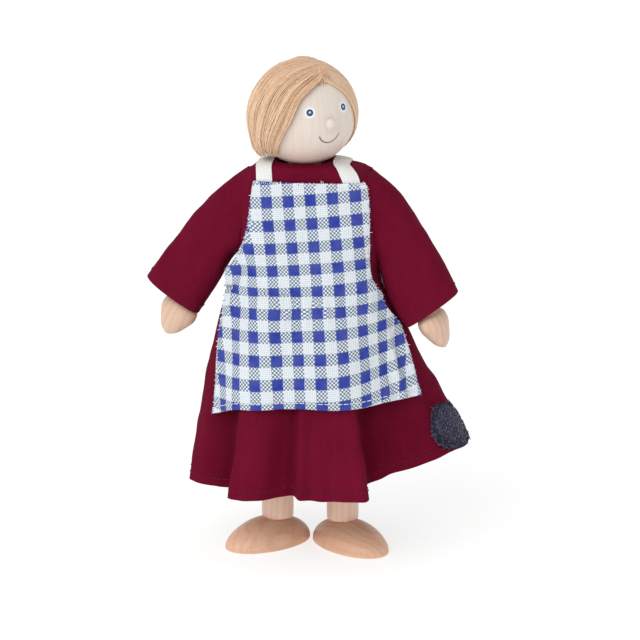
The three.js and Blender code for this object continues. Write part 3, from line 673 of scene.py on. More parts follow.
@dataclass(frozen=True)
class Wood:
    """A lacquered hardwood."""

    light: Colour
    dark: Colour
    figure: float
    fleck: float
    roughness: float = 0.42

    def grain(self, graph: Graph, at: Socket) -> tuple[Socket, Socket]:
        """Places the grain in a material and gives its colour and its height."""
        tones = {"Light": self.light, "Dark": self.dark, "Figure": self.figure, "Fleck": self.fleck}
        made = graph.node("Group", {"Place": at, **tones}, node_tree=GRAIN)
        return made.outputs["Color"], made.outputs["Height"]

    def material(self, name: str, turn: Matrix, centre: Sequence[float]) -> Material:
        """Makes the finish of one piece.

        Args:
            name: The material's name.
            turn: How the piece's axis is turned from Z.
            centre: The piece's centre in the doll's frame.

        Returns:
            The material.
        """
        constants = {"Specular_IOR_Level": 0.4, "Coat_Weight": 0.08, "Coat_Roughness": 0.35}
        material, g, shader = new_material(name, **constants)
        at = piece_place(g, turn, centre)
        colour, height = self.grain(g, at)
        rough = g.math("MULTIPLY_ADD", g.noise(at, (0.5, 0.5, 0.12), 2.0), 0.24, self.roughness - 0.12)
        g.surface(shader, colour, rough, bump(g, height, 0.035))
        return material


PALE_WOOD = Wood(srgb(244, 207, 184), srgb(220, 174, 150), 0.4, 0.08)
FACE_WOOD = Wood(srgb(226, 215, 204), srgb(220, 196, 182), 0.3, 0.0)
HAND_WOOD = Wood(srgb(222, 189, 166), srgb(202, 156, 128), 0.4, 0.1)
FOOT_WOOD = Wood(srgb(228, 182, 152), srgb(200, 146, 116), 0.35, 0.3)


@dataclass(frozen=True)
class FacePaint:
    """The painted face: two round eyes and a thin smile."""

    roll: float = -4.0
    eye_bearing: float = 22.0
    eye_latitude: float = 12.3
    eye_radius: float = 0.84
    smile_radius: float = 2.745
    smile_height: float = -2.55
    smile_ends: float = -3.35
    smile_width: float = 0.34
    iris: Colour = srgb(86, 134, 190)
    rim: Colour = srgb(26, 46, 88)
    glint: Colour = srgb(226, 238, 248)
    white: Colour = srgb(240, 245, 252)
    line: Colour = srgb(110, 66, 40)
    blush: Colour = srgb(232, 182, 164)
    # Painted shade with a painted reflection of the red dress, laid on the lower face.
    chin: Colour = srgb(216, 172, 160)

    def material(self, wood: Wood, radius: float, turn: Matrix, centre: Sequence[float]) -> Material:
        """Makes the head's finish.

        Args:
            wood: The wood under the paint.
            radius: The head's radius.
            turn: How the face is turned from the front.
            centre: The head's centre in the doll's frame.

        Returns:
            The material.
        """
        constants = {"Specular_IOR_Level": 0.4, "Coat_Weight": 0.1, "Coat_Roughness": 0.3}
        material, g, shader = new_material("Painted face", **constants)
        at = piece_place(g, turn @ Matrix.Rotation(math.radians(self.roll), 4, "Y"), centre)
        colour, height = wood.grain(g, at)
        lat = math.radians(self.eye_latitude)
        x, y, z = g.axes(at)
        front = g.step(0.0, -2.0, y)
        # The lower face is painted darker and redder towards the chin: painted shade with a painted
        # reflection of the dress.
        colour = g.mix(g.math("MULTIPLY", g.step(-4.5, -11.0, z), 0.6), colour, self.chin)
        for side in Side:
            swing = side.value * math.radians(self.eye_bearing + 16)
            cheek = (9.6 * math.sin(swing), -9.6 * math.cos(swing), -4.2)
            near = g.step(4.6, 1.2, g.vector("DISTANCE", at, cheek))
            colour = g.mix(g.math("MULTIPLY", near, 0.22), colour, self.blush)
        for side in Side:
            swing = side.value * math.radians(self.eye_bearing)
            eye = (
                radius * math.cos(lat) * math.sin(swing),
                -radius * math.cos(lat) * math.cos(swing),
                radius * math.sin(lat),
            )
            off = g.vector("DISTANCE", at, eye)
            r = self.eye_radius
            colour = g.mix(g.math("MULTIPLY", g.step(2.1 * r, 1.1 * r, off), 0.75), colour, self.white)
            colour = g.mix(g.step(1.05 * r, 0.92 * r, off), colour, self.rim)
            colour = g.mix(g.step(0.62 * r, 0.34 * r, off), colour, self.iris)
            spot = (eye[0], eye[1], eye[2] + 0.14 * r)
            colour = g.mix(g.step(0.3 * r, 0.16 * r, g.vector("DISTANCE", at, spot)), colour, self.glint)
        rise = g.math("SUBTRACT", z, self.smile_height)
        reach = g.math("SQRT", g.math("ADD", g.math("MULTIPLY", x, x), g.math("MULTIPLY", rise, rise)))
        gap = g.math("ABSOLUTE", g.math("SUBTRACT", reach, self.smile_radius))
        half = self.smile_width / 2
        line = g.math("MULTIPLY", g.step(1.25 * half, 0.75 * half, gap), front)
        line = g.math("MULTIPLY", line, g.step(self.smile_ends + 0.15, self.smile_ends - 0.15, z))
        colour = g.mix(g.math("MULTIPLY", line, 0.85), colour, self.line)
        rough = g.math("MULTIPLY_ADD", g.noise(at, (0.4, 0.4, 0.1), 2.0), 0.2, 0.34)
        g.surface(shader, colour, rough, bump(g, height, 0.02))
        return material


@dataclass(frozen=True)
class Yarn:
    """A soft yarn whose tone goes from thread to thread."""

    name: str
    deep: Colour
    middle: Colour
    bright: Colour
    sheen: float = 0.04
    roughness: float = 0.78

    def material(self) -> Material:
        """Makes the finish; it reads the threads' attribute "shade"."""
        constants = {"Sheen_Weight": self.sheen, "Sheen_Roughness": 0.45, "Specular_IOR_Level": 0.25}
        material, g, shader = new_material(self.name, **constants)
        tone = g.node("Attribute", attribute_name="shade").outputs["Fac"]
        at = g.vector("MULTIPLY", g.node("TexCoord").outputs["Object"], (1 / MM, 1 / MM, 1 / MM))
        fuzz = g.noise(at, (2.4, 2.4, 0.9), 3.0)
        tone = g.math("ADD", tone, g.math("MULTIPLY_ADD", fuzz, 0.6, -0.3))
        colour = g.mix(g.step(0.0, 0.5, tone), self.deep, self.middle)
        colour = g.mix(g.step(0.5, 1.0, tone), colour, self.bright)
        rough = g.math("MULTIPLY_ADD", fuzz, 0.2, self.roughness - 0.1)
        g.surface(shader, colour, rough, bump(g, g.noise(at, (9.0, 9.0, 3.0), 2.0), 0.06))
        return material


@dataclass(frozen=True)
class PlainCloth:
    """A plain weave in one colour."""

    name: str
    colour: Colour
    shadow: Colour
    pitch: float
    depth: float
    roughness: float = 0.9
    # The colour of the painted shade in the insides of folds.
    deep: Colour = srgb(72, 0, 14)

    def material(self) -> Material:
        """Makes the finish; it reads the cloth's flat cut and the attribute "inner", which paints shade into
        the valleys of the skirt's folds.
        """
        material, g, shader = new_material(self.name, Specular_IOR_Level=0.04)
        at = g.node("UVMap").outputs[0]
        weave = g.node("Group", {"Place": at, "Pitch": self.pitch}, node_tree=WEAVE)
        wear = g.noise(at, (0.07, 0.07, 1.0), 3.0)
        shadow = g.math("MULTIPLY", g.step(0.75, 0.1, weave.outputs["Height"]), 0.55)
        tone = g.math("ADD", shadow, g.math("MULTIPLY_ADD", weave.outputs["Slub"], 0.5, -0.5))
        tone = g.math("ADD", tone, g.math("MULTIPLY_ADD", wear, 0.7, -0.3))
        colour = g.mix(tone, self.colour, self.shadow)
        # The attribute "inner" carries the painted shade of the folds' insides; where it is missing it reads
        # 0.
        inner = g.node("Attribute", attribute_name="inner").outputs["Fac"]
        rough = g.math("MULTIPLY_ADD", wear, 0.2, self.roughness - 0.1)
        normal = bump(g, weave.outputs["Height"], self.depth, 0.8)
        g.surface(shader, g.mix(inner, colour, self.deep), rough, normal)
        return material


@dataclass(frozen=True)
class Gingham:
    """A checked plain weave of blue and white yarns."""

    pitch: float = 0.456
    yarns: int = 6
    turn: float = -5.0
    shift: tuple[float, float] = (-2.49, -2.81)
    stretch: float = 1.0514
    blue: Colour = srgb(32, 54, 162)
    crossed: Colour = srgb(100, 118, 144)
    white: Colour = srgb(230, 238, 244)
    # The colour of the painted shade in the hollows between yarns.
    gap: Colour = (0.1, 0.11, 0.16)
    faded: Colour = (0.62, 0.64, 0.66)

    def material(self) -> Material:
        """Makes the finish; it reads the cloth's flat cut from its UV map."""
        constants = {"Sheen_Weight": 0.04, "Sheen_Roughness": 0.5, "Specular_IOR_Level": 0.2}
        material, g, shader = new_material("Gingham", **constants)
        inputs = {
            "Vector": g.node("UVMap").outputs[0],
            "Location": (*self.shift, 0.0),
            "Rotation": (0.0, 0.0, math.radians(self.turn)),
            "Scale": (1.0, 1.0 / self.stretch, 1.0),
        }
        at = g.node("Mapping", inputs).outputs[0]
        weave = g.node("Group", {"Place": at, "Pitch": self.pitch}, node_tree=WEAVE)
        u, v, _ = g.axes(at)
        stripe = self.pitch * self.yarns
        over = weave.outputs["Over"]
        uneven = g.math("MULTIPLY_ADD", over, 0.5 * self.pitch, -0.25 * self.pitch)

        def band(along: Socket) -> Socket:
            """Marks every other stripe, its edges stepped by the yarns that cross it."""
            stepped = g.math("ADD", along, uneven)
            return g.math("FLOORED_MODULO", g.math("FLOOR", g.math("DIVIDE", stepped, stripe)), 2.0)

        warp, weft = band(u), band(v)
        both = g.math("MULTIPLY", warp, weft)
        shown = g.node("Mix", {0: over, 2: weft, 3: warp}, data_type="FLOAT").outputs[0]
        blue = g.mix(both, self.crossed, self.blue)
        colour = g.mix(shown, self.white, blue)
        # Darker where the weave dips between yarns: painted shade in its hollows.
        low = g.math("MULTIPLY", g.step(0.7, 0.05, weave.outputs["Height"]), 0.35)
        colour = g.mix(low, colour, self.gap)
        worn = g.noise(at, (0.3, 0.3, 1.0), 3.0)
        colour = g.mix(g.math("MULTIPLY_ADD", worn, 0.2, -0.06), colour, self.faded)
        rough = g.math("MULTIPLY_ADD", worn, 0.15, 0.78)
        g.surface(shader, colour, rough, bump(g, weave.outputs["Height"], 0.13, 0.8))
        return material


@dataclass(frozen=True)
class Knit:
    """A coarse stocking stitch."""

    wale: float = 1.25
    course: float = 0.95
    turn: float = 42.0
    # The colour of the painted shade between the loops.
    deep: Colour = srgb(22, 20, 38)
    yarn: Colour = srgb(54, 52, 78)
    bright: Colour = srgb(140, 142, 164)

    def material(self) -> Material:
        """Makes the finish; it reads the knitting's flat places from its UV map."""
        constants = {"Sheen_Weight": 0.25, "Sheen_Roughness": 0.5, "Specular_IOR_Level": 0.2}
        material, g, shader = new_material("Navy knit", **constants)
        lie = {"Vector": g.node("UVMap").outputs[0], "Rotation": (0.0, 0.0, math.radians(self.turn))}
        at = g.node("Mapping", lie).outputs[0]
        u, v, _ = g.axes(at)
        swing = g.math("PINGPONG", g.math("DIVIDE", u, self.wale / 2), 1.0)
        slant = g.math("MULTIPLY_ADD", swing, 0.75, g.math("DIVIDE", v, self.course))
        loop = g.math("ABSOLUTE", g.math("SINE", g.math("MULTIPLY", slant, math.pi)))
        ridge = g.math("ABSOLUTE", g.math("SINE", g.math("MULTIPLY", swing, math.pi)))
        height = g.math("MULTIPLY", g.math("SQRT", loop), g.math("MULTIPLY_ADD", ridge, 0.6, 0.4))
        fuzz = g.noise(at, (3.0, 3.0, 1.0), 3.0)
        # Darker between the loops as painted shade; the lighter fuzz below is strongest on the raised loops.
        colour = g.mix(g.step(0.15, 0.8, height), self.deep, self.yarn)
        raised = g.math("MULTIPLY", fuzz, g.math("ADD", height, 0.25))
        colour = g.mix(g.step(0.6, 0.8, raised), colour, self.bright)
        g.surface(shader, colour, g.math("MULTIPLY_ADD", fuzz, 0.15, 0.78), bump(g, height, 0.3))
        return material


HAIR_YARN = Yarn("Hair yarn", srgb(188, 134, 100), srgb(228, 190, 156), srgb(244, 220, 192), 0.12)
DRESS_THREAD = Yarn("Dress thread", srgb(78, 4, 24), srgb(100, 12, 36), srgb(116, 20, 48))
PATCH_YARN = Yarn("Patch yarn", srgb(22, 20, 38), srgb(50, 48, 74), srgb(110, 112, 134))
WHITE_THREAD = Yarn("White thread", srgb(196, 204, 206), srgb(232, 236, 235), srgb(248, 250, 249))
FRAY_YARN = Yarn("Frayed yarn", srgb(52, 62, 150), srgb(206, 214, 222), srgb(246, 248, 247))
DRESS_CLOTH = PlainCloth("Burgundy cloth", srgb(114, 18, 46), srgb(84, 3, 26), 0.34, 0.07)
TAPE_CLOTH = PlainCloth("White tape", srgb(243, 243, 241), srgb(200, 202, 203), 0.42, 0.1)


# Wooden pieces

def wood_name(node: str) -> str:
    """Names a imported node's wood."""
    return node.replace("_", " ").capitalize() + " wood"

def settle(obj: Piece, wood: Wood, slot: str, node: str, turn: Matrix, centre: Sequence[float]) -> None:
    """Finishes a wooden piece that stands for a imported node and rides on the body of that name.

    Args:
        obj: The piece.
        wood: Its wood.
        slot: The record's slot of that wood.
        node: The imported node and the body.
        turn: How the piece's axis is turned from Z.
        centre: The piece's centre in the doll's frame.
    """
    shade(obj)
    dress_piece(obj, wood.material(wood_name(node), turn, centre), slot, node)
    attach(obj, node)


@dataclass
class Head:
    """The turned ball with its painted face, its nose peg and its wig of yarn."""

    radius: float = 12.5
    across: float = NECK_OFFSET
    height: float = 109.5
    turn: float = 36.0
    neck_bore: float = 4.2
    nose_radius: float = 1.4
    nose_drop: float = 2.2

    @property
    def facing(self) -> Matrix:
        """The turn that brings the front of the frame to the face."""
        return Matrix.Rotation(math.radians(self.turn), 4, "Z")

    @property
    def seat(self) -> Matrix:
        """The head's frame in the scene, in metres."""
        return Matrix.Translation(place(self.across, 0, self.height)) @ self.facing

    def build_ball(self) -> Piece:
        """Turns the ball, with the mouth of the neck's bore drawn in below."""
        obj = ball("head", 96, 64, self.radius * MM)
        low = -math.sqrt(self.radius**2 - self.neck_bore**2) * MM
        with editing(obj, lambda face: face.center.z < low):
            bpy.ops.mesh.select_mode(type="FACE")
            bpy.ops.mesh.inset(thickness=0.15 * MM)
            bpy.ops.mesh.extrude_region_move(TRANSFORM_OT_translate={"value": (0, 0, 6 * MM)})
            bpy.ops.mesh.select_mode(type="VERT")
        put(obj, self.seat)
        shade(obj)
        finish = FacePaint().material(FACE_WOOD, self.radius, self.facing, (self.across, 0, self.height))
        return dress_piece(obj, finish, "pale_wood", "head_ball")

    def build_nose(self) -> Piece:
        """Turns the nose, a low knob with a drawn-in foot."""
        r = self.nose_radius
        rings = [(0.76, -0.6), (0.8, -0.1), (0.86, 0.12), (0.97, 0.3), (1.0, 0.5), (0.95, 0.76)]
        rings += [(0.8, 1.02), (0.56, 1.2), (0.28, 1.29), (0.06, 1.31)]
        obj = turned("nose", [(wide * r, up * r) for wide, up in rings], 32)
        soften(obj, 1)
        forward = Matrix.Rotation(math.radians(90), 4, "X")
        lower = Matrix.Rotation(math.radians(self.nose_drop), 4, "X")
        put(obj, self.seat @ lower @ Matrix.Translation((0, -self.radius * MM, 0)) @ forward)
        shade(obj)
        finish = FACE_WOOD.material("Nose wood", self.facing, (self.across, 0, self.height))
        return dress_piece(obj, finish, "pale_wood", "nose_peg")

    def build(self) -> list[Piece]:
        """Builds the head and parents its pieces to the head's body."""
        wig = Wig(self)
        pieces = [self.build_ball(), self.build_nose(), wig.build_cap(), wig.build_strands()]
        for piece in pieces:
            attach(piece, "head")
        return pieces


@dataclass
class Wig:
    """Yarn hair, parted over the forehead and combed down to a short bob."""

    head: Head
    inner: float = 13.0
    close: float = 12.62
    locks: int = 22
    parted: float = 0.2
    strands: int = 830
    wisps: int = 56
    steps: int = 14
    radius: float = 0.125
    root_front: float = 54.0
    root_span: float = 74.0
    tip_bearing: float = 71.0
    tip_latitude: float = -43.0
    lumps: tuple[tuple[float, float, float, float, float], ...] = (
        (-0.02, 0.25, 0.97, 0.5, 11.0),
        (-0.34, 0.2, 0.92, -0.55, 10.0),
        (-0.78, 0.1, 0.62, -0.75, 27.0),
        (-0.74, -0.15, -0.66, 1.35, 15.0),
    )

    def way(self, bearing: Array, latitude: Array) -> Array:
        """The way out of the head at a bearing from the face and a latitude, in degrees."""
        b, lat = np.radians(bearing), np.radians(latitude)
        return np.stack([np.cos(lat) * np.sin(b), -np.cos(lat) * np.cos(b), np.sin(lat)], axis=-1)

    def course(self, rank: Array, along: Array) -> Array:
        """The way of a strand on the doll's left half.

        Args:
            rank: 0 for the strand along the face, 1 for the one down the back.
            along: 0 at the parting, 1 at the cut end.

        Returns:
            Unit vectors in the face's frame.
        """

        def arc(order: Array) -> Array:
            """The great arc from the parting to the cut end at an order from 0 to 1."""
            rise = np.radians(self.root_front + self.root_span * order)
            root = np.stack([np.zeros_like(rise), -np.cos(rise), np.sin(rise)], axis=-1)
            bearing = self.tip_bearing + (180 - self.tip_bearing) * order
            tip = self.way(bearing, np.full_like(order, self.tip_latitude))
            angle = np.arccos(np.clip(np.sum(root * tip, axis=-1), -1, 1))[..., None]
            t = along[..., None]
            return (np.sin((1 - t) * angle) * root + np.sin(t * angle) * tip) / np.sin(angle)

        bearing = smooth_through([0, 0.36, 0.62, 1], [0, 31, 44, self.tip_bearing], along)
        ends = [49, 25, -2, self.tip_latitude]
        edge = self.way(bearing, smooth_through([0, 31, 44, self.tip_bearing], ends, bearing))
        lean = (1 - rank[..., None]) ** 2
        return unit(arc(rank) + (edge - arc(np.zeros_like(rank))) * lean)

    def seated(self, points: Array) -> Array:
        """Takes points of the face's frame to the doll's frame."""
        turn = np.array(self.head.facing.to_3x3())
        return points @ turn.T + np.array([self.head.across, 0, self.head.height])

    def swell(self, ways: Array) -> Array:
        """How much the hair stands out or lies in at ways of the face's frame."""
        turned_ways = ways @ np.array(self.head.facing.to_3x3()).T
        total = np.zeros(ways.shape[:-1])
        for x, y, z, amount, spread in self.lumps:
            apart = np.degrees(np.arccos(np.clip(turned_ways @ unit(np.array([x, y, z])), -1, 1)))
            total += amount * np.exp(-((apart / spread) ** 2))
        return total

    def fullness(self, side: Array, rank: Array) -> Array:
        """1 where the hair is thick, less along the face on the doll's left."""
        thick = ease(0.2, 0.75, rank)
        return np.where(np.asarray(side) > 0, thick, 1.0)

    def build_cap(self) -> Piece:
        """Lays the close cap of yarn under the strands, in a dark tone that is painted shade beneath them."""
        rank, along = np.meshgrid(np.linspace(0, 1, 60), np.linspace(-1, 1, 81), indexing="ij")
        ways = self.course(rank, np.abs(along))
        ways[..., 0] *= np.sign(along)
        full = self.fullness(along, rank)
        reach = self.close + (self.inner - self.close) * full + np.minimum(self.swell(ways), 0.3) * full
        flat = np.stack([along * 30, rank * 30], axis=-1)
        out = self.seated(ways) - self.seated(0 * ways)
        cap = cloth("hair_cap", self.seated(ways * reach[..., None]), flat, 0.3, True, out)
        # A dark tone all over: painted shade under the strands.
        mark(cap, "shade", np.full(len(cap.data.vertices), 0.18))
        return dress_piece(cap, HAIR_YARN.material(), "yarn")

    def comb_side(self, side: Side, rng: np.random.Generator) -> tuple[list[Array], list[float]]:
        """Combs one side's strands in uneven locks.

        Args:
            side: Which side of the parting.
            rng: The source of chance.

        Returns:
            The strands' paths in the face's frame, and their tones.
        """
        s = np.linspace(0, 1, self.steps)
        edges = np.cumsum(rng.uniform(0.4, 1.6, self.locks))
        edges = np.concatenate([[0], edges / edges[-1]])
        edges[np.argmin(np.abs(edges - self.parted))] = self.parted
        heights = rng.uniform(-0.14, 0.2, self.locks)
        paths, tones = [], []
        for number in range(self.strands):
            rank = (number + rng.uniform(0, 1)) / self.strands
            lock = min(int(np.searchsorted(edges, rank, side="right")) - 1, self.locks - 1)
            middle, half = (edges[lock] + edges[lock + 1]) / 2, (edges[lock + 1] - edges[lock]) / 2
            off = np.clip((rank - middle) / half, -1, 1)
            gather = 1 - 0.22 * ease(0.1, 0.9, s)
            wander = rng.normal(0, 0.006) * s + 0.006 * np.sin(rng.uniform(2, 7) * s + rng.uniform(0, 6.28))
            order = np.clip(middle + (rank - middle) * gather + wander * ease(0, 0.15, s), 0, 1)
            first, last = rng.uniform(-0.03, 0.03), rng.uniform(0.93, 1.02)
            ways = self.course(order, np.clip(first + (last - first) * s, 0, None))
            ways[:, 0] *= side.value
            full = self.fullness(side.value, order)
            crown = math.sqrt(1 - 0.85 * off * off)
            groove = math.exp(-(((rank - self.parted) / 0.012) ** 2))
            layer = rng.uniform(0, 0.5)
            loft = layer + (0.5 + heights[lock]) * crown * ease(0.0, 0.3, s)
            loft = loft + self.swell(ways) - 0.35 * groove
            loft = loft + 0.07 * np.sin(rng.uniform(4, 9) * s + rng.uniform(0, 6.28))
            base = self.close + (self.inner - self.close) * full
            reach = base + 0.1 + loft * (0.3 + 0.7 * full) - 0.4 * full * ease(0.9, 1.0, s)
            paths.append(ways * reach[:, None])
            # Tones: lighter on a lock's crown and its outer layer as a painted highlight, darker in the
            # parting as painted shade, with a random spread.
            tones.append(0.28 + 0.3 * crown + 0.3 * layer - 0.35 * groove + rng.normal(0, 0.13))
        return paths, tones

    def build_strands(self) -> Piece:
        """Combs the strands over the cap, with a few short ends on the forehead."""
        rng = np.random.default_rng(11)
        s = np.linspace(0, 1, self.steps)
        paths, tones = [], []
        for side in Side:
            side_paths, side_tones = self.comb_side(side, rng)
            paths += side_paths
            tones += side_tones
        for _ in range(self.wisps):
            bearing = rng.uniform(-24, 15) * (0.6 + 0.4 * s) + 5 * np.sin(2 * s) * rng.uniform(-0.6, 0.6)
            latitude = 63 - rng.uniform(12, 23) * s
            reach = self.inner + 0.8 - 1.05 * s * s
            paths.append(self.way(bearing, latitude) * reach[:, None])
            tones.append(rng.uniform(0.2, 0.8))
        taper = 1 - 0.45 * ease(0.8, 1, s)
        strands = threads("hair_strands", self.seated(np.array(paths)), self.radius, taper, np.array(tones))
        return dress_piece(strands, HAIR_YARN.material(), "yarn", "yarn_hair")


@dataclass
class Limb:
    """One side's hand, leg and foot."""

    side: Side
    hand_turn: float
    wrist: float = 31.7
    hand: tuple[float, float, float] = (9.6, 6.4, 9.6)
    leg_radius: float = 4.0
    leg_spread: float = 8.2
    hip_height: float = 55.0
    foot: tuple[float, float, float] = (14.0, 24.0, 7.3)
    foot_waist: float = 0.12
    foot_reach: float = 3.0
    foot_turn: float = 48.0
    toe_fall: float = 0.3
    sole_sink: float = 0.58
    sole_edge: float = 0.22

    def build_hand(self) -> None:
        """Turns the hand as a drop and flattens it, with a soft edge round the wrist."""
        width, thickness, length = self.hand
        along = 1 - np.sin(np.linspace(0.0, 1.0, 15) * math.pi / 2) ** 1.25
        wide = smooth_through([0, 0.15, 0.31, 0.61, 0.89, 1.0], [0.68, 0.97, 1.0, 0.76, 0.42, 0.04], along)
        rings = [(float(w) * width / 2, float(-a) * length) for w, a in zip(wide, along)]
        rings += [(0.6 * width / 2, 0.05), (0.3 * width / 2, 0.05)]
        rings[-3] = (0.67 * width / 2, -0.12)
        node = f"{self.side.label}_hand"
        obj = turned(f"{node}_wood", rings)
        soften(obj, 1)
        flat = Matrix.Diagonal((1, thickness / width, 1, 1))
        swing = math.radians(ARM_SPLAY[self.side])
        turn = Matrix.Rotation(-self.side.value * swing, 4, "Y")
        turn = turn @ Matrix.Rotation(self.side.value * math.radians(self.hand_turn), 4, "Z")
        x = self.side.value * (SHOULDER[0] + self.wrist * math.sin(swing))
        z = SHOULDER[1] - self.wrist * math.cos(swing)
        put(obj, Matrix.Translation(place(x, 0, z)) @ turn @ flat)
        settle(obj, HAND_WOOD, "tan_wood", node, turn, (x, 0, z))

    def build_leg(self) -> None:
        """Turns the leg, a dowel with an eased foot and a domed top."""
        r, low, hip = self.leg_radius, self.foot[2] - 0.4, self.hip_height
        rings = [(0.5 * r, low), (0.9 * r, low), (0.97 * r, low + 0.15), (r, low + 0.5), (r, low + 3)]
        rings += [(r, low + 15), (r, low + 30), (r, hip - 1)]
        rings += [(r * math.cos(a), hip + r * math.sin(a)) for a in np.linspace(0.1, 1.5, 7)]
        node = f"{self.side.label}_leg"
        obj = turned(f"{node}_wood", rings)
        soften(obj, 1)
        x = self.side.value * self.leg_spread
        put(obj, Matrix.Translation(place(x, 0, 0)))
        settle(obj, PALE_WOOD, "pale_wood", node, UPRIGHT, (x, 0, 0))

    def build_foot(self) -> None:
        """Shapes the foot from a ball: a bean with a flat sole, high at the ankle."""
        width, length, high = self.foot
        node = f"{self.side.label}_foot"
        obj = ball(f"{node}_wood", 72, 56, 1)

        def bean(points: Array) -> Array:
            """Takes the unit ball to the foot's shape in metres."""
            x, y, z = points.T
            waist = self.foot_waist * high
            toe = np.maximum(0, -y)
            top = waist + (high - waist) * z * (1 - self.toe_fall * toe * toe)
            under = waist * (1 + z / self.sole_sink)
            under = np.where(under > 0, under * under / (under + self.sole_edge), 0)
            height = np.where(z > 0, top, under)
            return np.stack([x * width / 2, y * length / 2 - self.foot_reach, height], axis=1) * MM

        reshape(obj, bean)
        x = self.side.value * self.leg_spread
        turn = Matrix.Rotation(self.side.value * math.radians(self.foot_turn), 4, "Z")
        put(obj, Matrix.Translation(place(x, 0, 0)) @ turn)
        lie = turn @ Matrix.Rotation(math.radians(82), 4, "X") @ Matrix.Rotation(0.5, 4, "Z")
        settle(obj, FOOT_WOOD, "tan_wood", node, lie, (x, 0, 0))

    def build(self) -> None:
        """Builds the limb's pieces."""
        self.build_hand()
        self.build_leg()
        self.build_foot()


def finish_core() -> None:
    """Gives the wooden pieces under the clothes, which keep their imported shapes, their wood."""
    lies = [(node, UPRIGHT, (0, 0, 75)) for node in ("torso", "neck_dowel", "hip_dowel")]
    across = Matrix.Rotation(math.radians(90), 4, "Y")
    for side, splay in ARM_SPLAY.items():
        hang = Matrix.Rotation(-side.value * math.radians(splay), 4, "Y")
        centre = (side.value * SHOULDER[0], 0, SHOULDER[1])
        lies += [(f"{side.label}_shoulder_peg", across, centre), (f"{side.label}_arm", hang, centre)]
    for node, turn, centre in lies:
        slots = frame["nodes"][node].data.materials
        slots.clear()
        slots.append(PALE_WOOD.material(wood_name(node), turn, centre))


# Clothes


